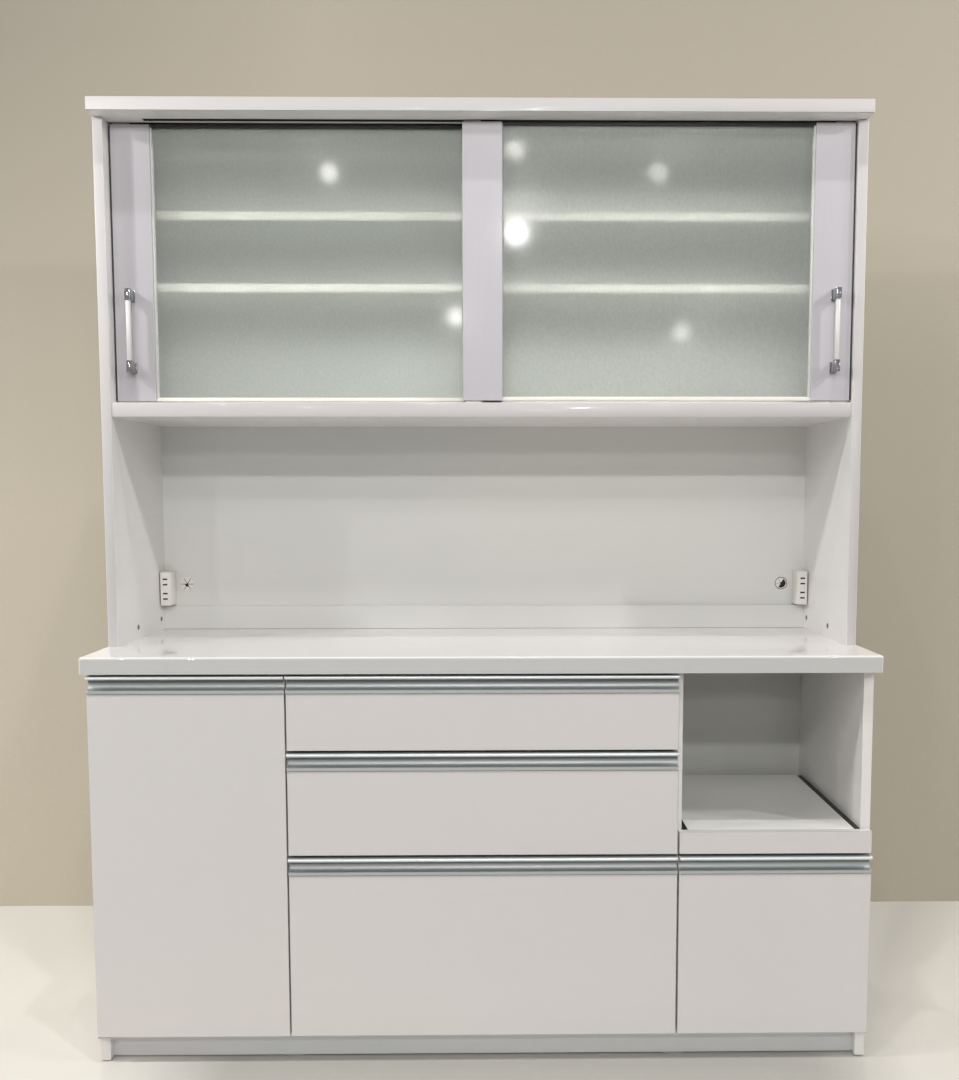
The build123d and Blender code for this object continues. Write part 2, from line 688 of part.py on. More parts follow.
def hutch_back():
    """The hutch's back panel with two cable holes."""
    edge = SIDE_IN + BACK_REBATE
    panel = block(-edge, edge, BACK_PANEL_FRONT, BACK_PANEL_REAR, BASE_HEIGHT, TOP_UNDER)
    middle = (BACK_PANEL_FRONT + BACK_PANEL_REAR) / 2
    hole = Rot(90, 0, 0) * Cylinder(GROMMET_HOLE_RADIUS, BACK_THICKNESS + 2 * CUT_PAST)
    for x, z in grommet_places():
        panel = panel - Pos(x, middle, z) * hole
    return panel


def hutch_rear_rail():
    """The low rail in front of the back panel, standing on the counter."""
    return block(-SIDE_IN, SIDE_IN, BACK_PANEL_FRONT - REAR_RAIL_THICKNESS, BACK_PANEL_FRONT,
                 BASE_HEIGHT, BASE_HEIGHT + REAR_RAIL_HEIGHT)


# Sliding doors

def door_spans(side):
    """Outer and inner x of a closed sliding door."""
    return side * DOOR_OUT, side * DOOR_IN


def door_stiles(side, face):
    """The two wide upright boards, grooved for the frame's beads."""
    outer, inner = door_spans(side)
    back = face + DOOR_THICKNESS
    first = eased(block(outer, outer - side * STILE_WIDTH, face, back, DOOR_BOTTOM, DOOR_TOP))
    second = eased(block(inner, inner + side * STILE_WIDTH, face, back, DOOR_BOTTOM, DOOR_TOP))
    return [first, second]


def door_frame(side, face):
    """Slim rails and beads between the stiles, with a groove for the glass all round."""
    outer, inner = door_spans(side)
    left, right = sorted((outer - side * STILE_WIDTH, inner + side * STILE_WIDTH))
    y0 = face + (DOOR_THICKNESS - DOOR_FRAME_THICKNESS) / 2
    y1 = y0 + DOOR_FRAME_THICKNESS
    pieces = [block(left, right, y0, y1, DOOR_BOTTOM, DOOR_BOTTOM + DOOR_RAIL),
              block(left, right, y0, y1, DOOR_TOP - DOOR_RAIL, DOOR_TOP),
              block(left, left + DOOR_BEAD, y0, y1, DOOR_BOTTOM + DOOR_RAIL, DOOR_TOP - DOOR_RAIL),
              block(right - DOOR_BEAD, right, y0, y1, DOOR_BOTTOM + DOOR_RAIL, DOOR_TOP - DOOR_RAIL)]
    pane = door_pane(side, face, GLASS_CLEARANCE)
    return [piece - pane for piece in pieces]


def door_pane(side, face, grow=0.0):
    """The glass, or with grow the space that it takes in the grooves."""
    outer, inner = door_spans(side)
    left, right = sorted((outer - side * STILE_WIDTH, inner + side * STILE_WIDTH))
    middle = face + DOOR_THICKNESS / 2
    half = GLASS_THICKNESS / 2 + grow
    reach_x = DOOR_BEAD - GLASS_GROOVE - grow
    reach_z = DOOR_RAIL - GLASS_GROOVE - grow
    return block(left + reach_x, right - reach_x, middle - half, middle + half,
                 DOOR_BOTTOM + reach_z, DOOR_TOP - reach_z)


def door_pull(side, face):
    """A square bar between two blocks that stand on the outer stile."""
    x = side * (DOOR_OUT - PULL_FROM_EDGE - PULL_BLOCK_WIDTH / 2)
    z = SILL_TOP + PULL_CENTRE_HEIGHT
    half = PULL_LENGTH / 2
    pieces = []
    for end in (-1, 1):
        low, high = sorted((z + end * half, z + end * (half - PULL_BLOCK_HEIGHT)))
        pieces.append(eased(block(x - PULL_BLOCK_WIDTH / 2, x + PULL_BLOCK_WIDTH / 2,
                                  face - PULL_REACH, face, low, high), PULL_EDGE))
    bar = block(x - PULL_BAR_WIDTH / 2, x + PULL_BAR_WIDTH / 2,
                face - PULL_REACH + PULL_EDGE, face - PULL_REACH + PULL_EDGE + PULL_BAR_DEPTH,
                z - half + PULL_BLOCK_HEIGHT, z + half - PULL_BLOCK_HEIGHT)
    upright = bar.edges().filter_by(Axis.Z)
    pieces.append(chamfer(upright, PULL_EDGE))
    return pieces


def door_glides(side, face):
    """Plastic glides that run in the grooves above and below the door."""
    outer, inner = door_spans(side)
    y = track_middle(face)
    y0 = y - GLIDE_THICKNESS / 2
    y1 = y + GLIDE_THICKNESS / 2
    sole = SILL_TOP - SILL_TRACK_DEPTH + TRACK_CLEARANCE
    tip = TOP_UNDER + TOP_TRACK_DEPTH - TRACK_CLEARANCE - SILL_TRACK_DEPTH / 2
    pieces = []
    for x, towards in ((outer, -side), (inner, side)):
        start = x + towards * GLIDE_INSET
        end = start + towards * GLIDE_LENGTH
        pieces.append(block(start, end, y0, y1, sole, DOOR_BOTTOM))
        pieces.append(block(start, end, y0, y1, DOOR_TOP, tip))
    return pieces


def save_sliding_doors():
    """The left door runs in the rear track and the right door in the front one."""
    for name, side, face in (("left_glass_door", -1, REAR_DOOR_FACE), ("right_glass_door", 1, FRONT_DOOR_FACE)):
        save(name + "_stiles", door_stiles(side, face))
        save(name + "_frame", door_frame(side, face))
        save(name + "_pane", door_pane(side, face))
        save(name + "_pull", door_pull(side, face))
        save(name + "_glides", door_glides(side, face))


# Fittings in the open counter space

def power_outlet():
    """A slim socket block in the right rear corner with two pairs of slots."""
    right = SIDE_IN - OUTLET_SIDE_GAP
    left = right - OUTLET_WIDTH
    low = BASE_HEIGHT + REAR_RAIL_HEIGHT + OUTLET_ABOVE_RAIL
    front = BACK_PANEL_FRONT - OUTLET_DEPTH
    body = eased(block(left, right, front, BACK_PANEL_FRONT, low, low + OUTLET_HEIGHT), OUTLET_EDGE)
    middle_x = (left + right) / 2
    middle_z = low + OUTLET_HEIGHT / 2
    for pair in (-1, 1):
        for blade in (-1, 1):
            z = middle_z + pair * OUTLET_PAIR_PITCH / 2 + blade * OUTLET_SLOT_PITCH / 2
            body = body - Pos(middle_x, front, z) * Box(OUTLET_SLOT_WIDTH, 2 * OUTLET_SLOT_DEPTH,
                                                        OUTLET_SLOT_HEIGHT)
    return body


def cable_grommet(x, z):
    """A flanged ring whose front is closed by a membrane with star-shaped slits."""
    sleeve_radius = GROMMET_HOLE_RADIUS - GROMMET_CLEARANCE
    ring = Cylinder(GROMMET_FLANGE_RADIUS, GROMMET_FLANGE, align=(Align.CENTER, Align.CENTER, Align.MIN))
    sleeve = Pos(0, 0, -BACK_THICKNESS) * Cylinder(sleeve_radius, BACK_THICKNESS,
                                                   align=(Align.CENTER, Align.CENTER, Align.MIN))
    bore = Pos(0, 0, -BACK_THICKNESS) * Cylinder(sleeve_radius - GROMMET_WALL, BACK_THICKNESS,
                                                 align=(Align.CENTER, Align.CENTER, Align.MIN))
    body = ring + sleeve - bore
    reach = sleeve_radius - GROMMET_WALL
    for turn in range(GROMMET_SLITS):
        slit = Pos(reach / 2, 0, GROMMET_FLANGE / 2) * Box(reach, GROMMET_SLIT, GROMMET_FLANGE * 2)
        body = body - Rot(0, 0, turn * 360 / GROMMET_SLITS) * slit
    return Pos(x, BACK_PANEL_FRONT, z) * Rot(90, 0, 0) * body


def fixing_caps():
    """Caps over the screws that tie the hutch sides to the base."""
    caps = []
    for row in range(2):
        y = HUTCH_FRONT + CAP_FROM_FRONT + row * CAP_SPACING
        cap = Pos(SIDE_IN - CAP_THICKNESS / 2, y, BASE_HEIGHT + CAP_HEIGHT) * Rot(0, 90, 0) * Cylinder(
            CAP_RADIUS, CAP_THICKNESS)
        caps += both_sides(cap)
    return caps


def main():
    os.makedirs("parts", exist_ok=True)
    save("base_side_left", base_side(-1))
    save("base_side_right", base_side(1))
    save("base_partitions", base_partitions())
    save("base_bottom_board", base_bottom())
    save("base_back_panel", base_back())
    save("base_top_rails", base_top_rails())
    save("kickboard", kickboard())
    save("floor_pads", floor_pads())
    save("counter_top", counter_top())
    save("base_shelves", base_shelves())
    save("shelf_pins", [shelf_pin(place) for place in pin_places()])
    save("door_pivots", door_pivots())
    save("lower_door_panel", door_panel())
    save("lower_door_handle", door_handle())
    outers = save_drawers()
    outers += save_tray()
    save("slide_outer_members", outers)
    save("hutch_side_left", hutch_side(-1))
    save("hutch_side_right", hutch_side(1))
    save("hutch_top_board", hutch_top())
    save("hutch_sill_board", hutch_sill())
    save("hutch_partition", hutch_partition())
    save("hutch_back_panel", hutch_back())
    save("hutch_rear_rail", hutch_rear_rail())
    save("hutch_shelves", hutch_shelves())
    save_sliding_doors()
    save("power_outlets", both_sides(power_outlet()))
    save("cable_grommets", [cable_grommet(x, z) for x, z in grommet_places()])
    save("fixing_caps", fixing_caps())


main()
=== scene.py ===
import json
from math import cos, pi, radians, sin

import bmesh
import bpy
from bpy.props import FloatProperty, FloatVectorProperty, PointerProperty
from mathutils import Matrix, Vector


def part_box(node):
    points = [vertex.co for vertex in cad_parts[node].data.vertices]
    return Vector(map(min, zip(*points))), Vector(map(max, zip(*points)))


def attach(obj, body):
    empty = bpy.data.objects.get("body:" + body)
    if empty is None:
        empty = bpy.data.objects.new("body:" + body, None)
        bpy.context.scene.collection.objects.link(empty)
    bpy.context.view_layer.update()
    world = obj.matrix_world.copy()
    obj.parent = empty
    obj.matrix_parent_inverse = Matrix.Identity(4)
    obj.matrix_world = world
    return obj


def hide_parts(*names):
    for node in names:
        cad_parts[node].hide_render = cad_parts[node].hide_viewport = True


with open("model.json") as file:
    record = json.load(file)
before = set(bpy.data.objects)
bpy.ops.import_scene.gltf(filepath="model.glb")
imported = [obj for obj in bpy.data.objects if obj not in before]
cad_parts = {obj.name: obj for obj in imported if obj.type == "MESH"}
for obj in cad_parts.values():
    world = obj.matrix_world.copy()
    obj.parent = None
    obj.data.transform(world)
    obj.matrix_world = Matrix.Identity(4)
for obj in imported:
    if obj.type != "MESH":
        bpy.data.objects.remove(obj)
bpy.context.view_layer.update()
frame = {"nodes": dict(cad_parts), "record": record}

bl_info = {
    "name": "Kitchen Board Finisher",
    "version": (1, 0, 0),
    "blender": (4, 5, 0),
    "location": "3D View > Sidebar > Kitchen Board",
    "description": "Finishes, trim, fittings and a studio for a two-piece kitchen cabinet",
    "category": "Object",
}

MM = 0.001
SLOT_COLOURS = {m["slot"]: tuple(m["base_color"][:3]) for m in frame["record"]["materials"]}

SIDES = (-1, 1)
DRAWERS = ("upper_drawer", "middle_drawer", "lower_drawer", "deep_drawer")
GLASS_DOORS = {"left_glass_door": -1, "right_glass_door": 1}
BASE_BOARDS = ["base_side_left", "base_side_right", "base_partitions"]
HUTCH_BOARDS = ["hutch_side_left", "hutch_side_right", "hutch_top_board", "hutch_sill_board"]
FRONTS = [d + "_front" for d in DRAWERS] + ["lower_door_panel", "tray_fascia"]

# Places and sizes that the trim shares with the CAD parts. X runs from the cabinet's
# middle, Y from its middle towards the back, and Z from the floor.
SIDE_FACE = 770 * MM  # inner face of a hutch side, X
PANEL_FACE = 242 * MM  # front of the hutch's back panel, Y
SHELF_MIDDLE, SHELF_HALF, SHELF_THICKNESS = 389 * MM, 380 * MM, 18 * MM
GROOVE_HALF, TOP_GROOVE, SILL_GROOVE = 4 * MM, 10 * MM, 5 * MM
TRACKS = ((1, -80 * MM), (-1, -56 * MM))  # the side that a door rests at, its groove's Y
TRACK_OUTER, TRACK_INNER = 767.3 * MM, 693.7 * MM  # where the liners end, X
SLIDE_COVERS = ((404.1 * MM, 416.2 * MM), (757.8 * MM, 769.9 * MM))
TRAY_COLUMN = (399 * MM, 401 * MM)  # where the tray's column begins, X
TRAY_SLIDES = (440 * MM, 486.5 * MM)  # heights of the tray's slides
GROMMET_MIDDLE = 717 * MM
# Painted shade is laid inside each handle's recess and fades in over this span.
RECESS_SHADE_SPAN = (-245 * MM, -240 * MM)  # from a handle's lip to its recess, Y
HANDLE_SEAMS = (770 * MM, 613 * MM, 398 * MM)  # lines along the handles, Z
HANDLE_CAPS = (392 * MM, 398 * MM)  # end caps in the middle column, X
HANDLE_END = 787 * MM  # where the outer end caps begin, X
FIT = 0.02 * MM  # play left round a fitted piece


# ---- settings

def length(name, description, default):
    return FloatProperty(name=name, description=description, default=default, min=0.0,
                         unit="LENGTH", subtype="DISTANCE", precision=5)


def colour(name, description, default):
    return FloatVectorProperty(name=name, description=description, default=default, size=3,
                               min=0.0, max=1.0, subtype="COLOR")


class KitchenBoardSizes(bpy.types.PropertyGroup):
    """Sizes of the trim and the fittings"""
    edge_softening: length("Edge softening", "Radius that boards' edges are eased by", 0.6 * MM)
    band_thickness: length("Edge band thickness", "How far a band stands proud", 0.45 * MM)
    band_inset: length("Edge band inset", "Bare strip left beside an edge band", 0.8 * MM)
    liner_thickness: length("Track liner", "Wall of the liner in a door groove", 0.22 * MM)
    pull_chamfer: length("Pull chamfer", "Chamfer round a pull's chrome blocks", 1.1 * MM)
    socket_rounding: length("Socket rounding", "Rounding of a socket block's edges", 2.4 * MM)
    lamp_radius: length("Lamp radius", "Radius of the weaker ceiling lamps", 32 * MM)
    wall_distance: length("Wall distance", "How far behind the middle the wall stands", 0.66)


class KitchenBoardColours(bpy.types.PropertyGroup):
    """Colours of the finishes, which take their names and keys from here"""
    film: colour("White film", "Sides, top, sill and partitions", (0.82, 0.813, 0.80))
    panel: colour("Panel film", "Hutch's back panel and rear rail", (0.755, 0.765, 0.74))
    inside: colour("Inside film", "Shelves and hidden boards", (0.67, 0.69, 0.655))
    # Painted shade: the inside film made darker for the back of the open bay.
    bay: colour("Bay film", "Back of the open bay", (0.603, 0.621, 0.5895))
    drawer: colour("Drawer film", "Drawer box walls", SLOT_COLOURS["drawer_board"])
    kick: colour("Kickboard film", "Recessed board at the floor", (0.65, 0.67, 0.69))
    counter: colour("Counter gloss", "High-gloss counter", (0.835, 0.82, 0.825))
    # Painted shade: the counter's front faces get this darker colour.
    counter_front: colour("Counter front", "Counter's front edge", (0.58, 0.59, 0.59))
    tray: colour("Tray gloss", "High-gloss sliding tray", (0.91, 0.92, 0.905))
    lacquer: colour("Front lacquer", "Doors and drawer fronts", (0.69, 0.674, 0.671))
    band: colour("Edge band", "Boards' front edges", (0.57, 0.56, 0.567))
    shelf_band: colour("Shelf band", "Shelves' front edges", (0.84, 0.80, 0.755))
    stile: colour("Pearl stile", "Stiles of the glass doors", (0.505, 0.497, 0.535))
    bead: colour("Cream frame", "Rail under the glass", SLOT_COLOURS["door_frame"])
    bead_side: colour("Pale bead", "Wide bead beside the glass", (0.72, 0.73, 0.71))
    rail: colour("Grey rail", "Thin bead at the doors' overlap", (0.34, 0.37, 0.355))
    glass: colour("Mist glass", "Tint of the mist glass", (0.597, 0.630, 0.611))
    aluminium: colour("Brushed aluminium", "Line handles", (0.66, 0.70, 0.72))
    # Painted shade inside a handle's recess, darkest on faces that look down.
    handle_recess: colour("Handle recess", "Dull inside of a handle", (0.10, 0.115, 0.12))
    handle_seam: colour("Handle seam", "Line along a handle", (0.10, 0.10, 0.10))
    handle_cap: colour("Handle cap", "Plastic ends of a handle", (0.50, 0.50, 0.48))
    chrome: colour("Chrome", "Pull blocks", (0.32, 0.33, 0.35))
    pull_bar: colour("White satin bar", "Satin bars of the pulls", (0.66, 0.66, 0.655))
    steel: colour("Zinc steel", "Drawer slides, pins and screws", SLOT_COLOURS["slide_steel"])
    black: colour("Black slide", "Tray slides", SLOT_COLOURS["tray_slide"])
    # Near black for the track liners, and for the doors' head rails, where it is a painted
    # shadow line at the door's head.
    liner: colour("Track liner", "Liners of the upper tracks", (0.025, 0.026, 0.026))
    plastic: colour("White plastic", "Sockets, glides, grommets", SLOT_COLOURS["white_plastic"])
    grey: colour("Grey plastic", "Floor pads and gasket", SLOT_COLOURS["grey_plastic"])
    cap: colour("Dark cap", "Caps inside the hutch's sides", (0.13, 0.13, 0.125))
    rubber: colour("Black rubber", "Buffers and dust covers", (0.022, 0.024, 0.024))
    # Near black: painted shade at the bottoms of shallow slots and behind the grommets.
    dark: colour("Dark recess", "Bottoms of slots and holes", (0.012, 0.012, 0.013))
    wall: colour("Studio wall", "Backdrop wall", (0.525, 0.485, 0.40))
    floor: colour("Studio floor", "Studio floor", (0.73, 0.72, 0.67))


def sizes():
    return bpy.context.scene.kitchen_board_sizes


def colours():
    return bpy.context.scene.kitchen_board_colours


# ---- finishes

def shade(rgb, factor, warm=0.0):
    """The colour times factor, pushed to warm (positive) or cool (negative)."""
    r, g, b = rgb
    return (min(r * (factor + warm), 1.0), min(g * factor, 1.0), min(b * (factor - warm), 1.0))


class Nodes:
    """A node tree, with short words for the nodes that build its layers."""

    def __init__(self, tree):
        self.nodes, self.links = tree.nodes, tree.links

    def feed(self, socket, value):
        """Links a socket to another one, or sets its number, vector or colour."""
        if isinstance(value, bpy.types.NodeSocket):
            self.links.new(value, socket)
        elif socket.type == "RGBA":
            socket.default_value = (*value, 1.0)
        else:
            socket.default_value = value

    def set(self, node, **values):
        for label, value in values.items():
            self.feed(node.inputs[label.replace("_", " ")], value)
        return node

    def add(self, kind, **values):
        return self.set(self.nodes.new(kind), **values)

    def math(self, operation, *values):
        node = self.add("ShaderNodeMath")
        node.operation = operation
        for socket, value in zip(node.inputs, values):
            self.feed(socket, value)
        return node.outputs[0]

    def axes(self, kind="Object"):
        """The X, Y and Z of where a point is, or of which way it faces."""
        point = self.add("ShaderNodeTexCoord").outputs[kind]
        return self.add("ShaderNodeSeparateXYZ", Vector=point).outputs

    def spread(self, value, low=0.3, high=0.7, first=0.0, last=1.0):
        """Turns low to high, which suit a noise, into first to last."""
        return self.add("ShaderNodeMapRange", Value=value, From_Min=low, From_Max=high,
                        To_Min=first, To_Max=last).outputs["Result"]

    def band(self, value, low, high, soft=0.0002):
        """1 between low and high, 0 outside."""
        return self.math("MULTIPLY", self.spread(value, low - soft, low + soft),
                         self.spread(value, high + soft, high - soft))

    def mix(self, factor, first, second):
        node = self.add("ShaderNodeMix")
        node.data_type = "RGBA"
        for index, value in ((0, factor), (6, first), (7, second)):
            self.feed(node.inputs[index], value)
        return node.outputs[2]

    def seen(self):
        """1 where the camera looks, straight or by way of gloss or glass, 0 for other light."""
        path = self.add("ShaderNodeLightPath").outputs
        looked = self.math("MAXIMUM", path["Is Camera Ray"], path["Is Glossy Ray"])
        return self.math("MAXIMUM", looked, path["Is Transmission Ray"])


class Finish(Nodes):
    """A material with one Principled shader and procedural layers in frame metres."""

    def __init__(self, name, rgb, roughness, **sockets):
        self.material = bpy.data.materials.new(name)
        self.material.use_nodes = True
        super().__init__(self.material.node_tree)
        self.rgb = tuple(rgb)
        self.shader = self.nodes["Principled BSDF"]
        self.set(self.shader, Base_Color=self.rgb, Roughness=roughness, **sockets)
        self.place = self.add("ShaderNodeTexCoord").outputs["Object"]

    def stretched(self, scale, shift=(0.0, 0.0, 0.0)):
        """The place scaled by one number, or by one along each axis."""
        scale = scale if isinstance(scale, tuple) else (scale,) * 3
        return self.add("ShaderNodeMapping", Vector=self.place, Scale=scale,
                        Location=shift).outputs["Vector"]

    def noise(self, scale, detail=2.0, roughness=0.5, distortion=0.0, shift=(0.0, 0.0, 0.0)):
        return self.add("ShaderNodeTexNoise", Vector=self.stretched(scale, shift), Scale=1.0,
                        Detail=detail, Roughness=roughness, Distortion=distortion).outputs["Fac"]

    def tones(self, layer, dark, light, span=(0.3, 0.7)):
        """Mixes two shades of the colour, each a factor and a warmth, by a layer."""
        return self.mix(self.spread(layer, *span), shade(self.rgb, *dark),
                        shade(self.rgb, *light))

    def glaze(self, tint, layer, span, strength, factor, warm=0.0):
        """Lays a shade of the colour thinly over a tint, where a layer is high."""
        return self.mix(self.spread(layer, *span, 0.0, strength), tint,
                        shade(self.rgb, factor, warm))

    def specks(self, tint, scale, radius, chance, strength, factor):
        """Scatters round specks of a darker shade over a tint."""
        cells = self.add("ShaderNodeTexVoronoi", Vector=self.stretched(scale), Scale=1.0).outputs
        pick = self.add("ShaderNodeSeparateColor", Color=cells["Color"]).outputs["Red"]
        speck = self.math("MULTIPLY", self.spread(cells["Distance"], radius, radius * 0.5),
                          self.math("LESS_THAN", pick, chance))
        return self.mix(self.math("MULTIPLY", speck, strength), tint, shade(self.rgb, factor))

    def lay(self, tint, roughness, height, depth, strength, coat=False):
        """Gives the shader its tint, roughness and relief, and returns the material."""
        relief = self.add("ShaderNodeBump", Height=height, Distance=depth,
                          Strength=strength).outputs["Normal"]
        self.set(self.shader, Base_Color=tint, Roughness=roughness, Normal=relief)
        if coat:
            self.set(self.shader, Coat_Normal=relief)
        return self.material


def film_finish(name, rgb, roughness=0.34, coat=0.35):
    """White melamine film: faint streaks along the board, fine pores and a few specks."""
    f = Finish(name, rgb, roughness, Coat_Weight=coat, Coat_Roughness=0.12, Coat_IOR=1.45)
    streaks = f.noise((2.5, 2.5, 95.0), detail=4, roughness=0.6)
    clouds = f.noise((1.6, 1.6, 1.9), shift=(3.1, 0.7, 1.9))
    tint = f.tones(clouds, (0.975, -0.004), (1.01, 0.006), (0.35, 0.65))
    tint = f.glaze(tint, streaks, (0.45, 0.75), 0.10, 0.88)
    tint = f.specks(tint, 34, 0.045, 0.05, 0.5, 0.45)
    pores = f.math("ADD", f.noise(420), f.math("MULTIPLY", streaks, 1.6))
    return f.lay(tint, f.spread(streaks, first=roughness - 0.05, last=roughness + 0.07),
                 pores, 0.00012, 0.35)


def lacquer_finish(name, rgb, coat_roughness=0.035, peel=0.30, front=None):
    """Sprayed gloss lacquer: clear coat with orange peel, cloudy tone and dust nibs.
    Faces that look to the front may take a darker colour, a painted shade."""
    f = Finish(name, rgb, 0.45, Coat_Weight=1.0, Coat_Roughness=coat_roughness, Coat_IOR=1.5)
    clouds = f.noise((1.3, 1.3, 1.0), shift=(0.4, 2.0, 5.3))
    fine = f.noise(38, detail=3)
    tint = f.tones(clouds, (0.985, -0.010), (1.01, 0.012), (0.32, 0.68))
    tint = f.glaze(tint, fine, (0.35, 0.75), 0.10, 0.90)
    tint = f.specks(tint, 26, 0.030, 0.06, 0.35, 0.5)
    # Faces that look to the front are painted darker, a painted shade.
    if front:
        rgb = getattr(colours(), front)
        tint = f.mix(f.spread(f.axes("Normal")[1], -0.75, -0.95), tint,
                     f.mix(f.spread(fine), shade(rgb, 0.985), rgb))
    return f.lay(tint, f.spread(fine, first=0.40, last=0.50),
                 f.noise(190, detail=1.5, roughness=0.4), 0.00006, peel, coat=True)


def matt_film_finish(name, rgb, roughness=0.52):
    """Matt film of the inside boards, with a light linen emboss."""
    f = Finish(name, rgb, roughness)
    linen = f.math("ADD", f.noise((30, 30, 900)), f.noise((900, 900, 30)))
    blotch = f.noise(4, detail=3)
    tint = f.tones(blotch, (0.97, 0), (1.015, 0.004))
    tint = f.glaze(tint, linen, (0.85, 1.25), 0.10, 0.84)
    return f.lay(tint, f.spread(blotch, first=roughness - 0.06, last=roughness + 0.06),
                 linen, 0.00015, 0.3)


def stile_finish(name, rgb):
    """Pearl grey foil: fine vertical grain and flakes under a thin coat."""
    f = Finish(name, rgb, 0.5, Metallic=0.05, Coat_Weight=0.04, Coat_Roughness=0.12,
               Coat_IOR=1.45)
    grain = f.noise((520, 520, 9), detail=3, roughness=0.65)
    flakes = f.noise((1500, 1500, 600), detail=1)
    clouds = f.noise((5, 5, 1.6))
    tint = f.tones(grain, (0.97, -0.004), (1.03, 0))
    tint = f.glaze(tint, flakes, (0.55, 0.75), 0.25, 1.25, -0.01)
    tint = f.glaze(tint, clouds, (0.3, 0.7), 0.5, 0.97, 0.012)
    return f.lay(tint, f.spread(grain, first=0.44, last=0.56), grain, 0.00005, 0.4)


def satin_finish(name, rgb, roughness=0.4, scale=700.0, depth=0.00005, coat=0.0):
    """Painted or moulded satin surface with a fine skin texture."""
    f = Finish(name, rgb, roughness, Coat_Weight=coat, Coat_Roughness=0.08)
    drift = f.noise(18, detail=3)
    return f.lay(f.tones(drift, (0.992, 0), (1.004, 0.002)),
                 f.spread(drift, first=roughness - 0.02, last=roughness + 0.04),
                 f.noise(scale), depth, 0.25)


def glass_finish(name, rgb):
    """Mist glass: a rolled vertical ripple, a pale etched veil and a thin gloss outside."""
    f = Finish(name, rgb, 0.42, Transmission_Weight=0.87, IOR=1.2,
               Coat_Weight=0.07, Coat_Roughness=0.07, Coat_IOR=1.5)
    ripple = f.noise((240, 240, 150), detail=3, roughness=0.6)
    return f.lay(f.tones(ripple, (0.90, 0), (1.08, 0)),
                 f.spread(f.noise((9, 9, 5)), first=0.40, last=0.44), ripple, 0.00006, 0.3)


def aluminium_finish(name, rgb):
    """Anodised aluminium brushed along the handle, with painted shade in its recess, and with
    end caps.
    """
    f = Finish(name, rgb, 0.32, Metallic=1.0)
    brush = f.noise((0.5, 900, 900))
    smear = f.noise((5, 40, 40))
    tint = f.tones(brush, (0.97, 0), (1.02, 0))
    tint = f.glaze(tint, smear, (0.4, 0.7), 0.12, 0.9, 0.01)
    x, y, z = f.axes()
    # Painted shade in the recess, stronger on faces that look down than on faces that look up.
    down = f.spread(f.axes("Normal")[2], 0.15, -0.35, 0.35, 0.9)
    tint = f.mix(f.math("MULTIPLY", f.spread(y, *RECESS_SHADE_SPAN), down), tint,
                 colours().handle_recess)
    for seam in HANDLE_SEAMS:
        tint = f.mix(f.band(z, seam - 0.2 * MM, seam + 0.6 * MM), tint, colours().handle_seam)
    x = f.math("ABSOLUTE", x)
    caps = f.math("ADD", f.band(x, *HANDLE_CAPS, 0.05 * MM),
                  f.spread(x, HANDLE_END - 0.05 * MM, HANDLE_END + 0.05 * MM))
    f.set(f.shader, Metallic=f.spread(caps, 0.0, 1.0, 0.62, 0.0))
    roughness = f.math("ADD", f.spread(brush, first=0.42, last=0.45),
                       f.math("MULTIPLY", caps, 0.15))
    return f.lay(f.mix(caps, tint, colours().handle_cap), roughness, brush, 0.0000005, 0.02)


def steel_finish(name, rgb, roughness=0.34, metallic=1.0, tray=None):
    """Zinc plated or painted sheet steel with rolling marks and faint spangle.
    The members that carry the tray may have a colour of their own."""
    f = Finish(name, rgb, roughness, Metallic=metallic)
    rolled = f.noise((700, 8, 700), detail=3)
    spangle = f.noise(70, distortion=0.8)
    tint = f.tones(spangle, (0.88, 0), (1.07, 0), (0.35, 0.65))
    tint = f.glaze(tint, rolled, (0.4, 0.7), 0.3, 0.8)
    if tray:
        x, _, z = f.axes()
        carried = f.math("MULTIPLY", f.spread(x, *TRAY_COLUMN), f.band(z, *TRAY_SLIDES))
        tint = f.mix(carried, tint, getattr(colours(), tray))
    return f.lay(tint, f.spread(spangle, first=roughness - 0.07, last=roughness + 0.1),
                 rolled, 0.00004, 0.4)


def chrome_finish(name, rgb):
    """Polished chrome with hairline wiping marks."""
    f = Finish(name, rgb, 0.06, Metallic=1.0)
    wipes = f.noise((300, 300, 40), detail=3)
    return f.lay(f.tones(wipes, (0.96, 0), (1.05, 0), (0.35, 0.7)),
                 f.spread(wipes, first=0.04, last=0.12), wipes, 0.00002, 0.2)


def bar_finish(name, rgb):
    """Pale satin aluminium, drawn along the bar."""
    f = Finish(name, rgb, 0.45, Metallic=0.25)
    drawn = f.noise((2600, 2600, 7), detail=3, roughness=0.6)
    return f.lay(f.tones(drawn, (0.95, 0), (1.04, 0)),
                 f.spread(drawn, first=0.42, last=0.50), drawn, 0.00001, 0.2)


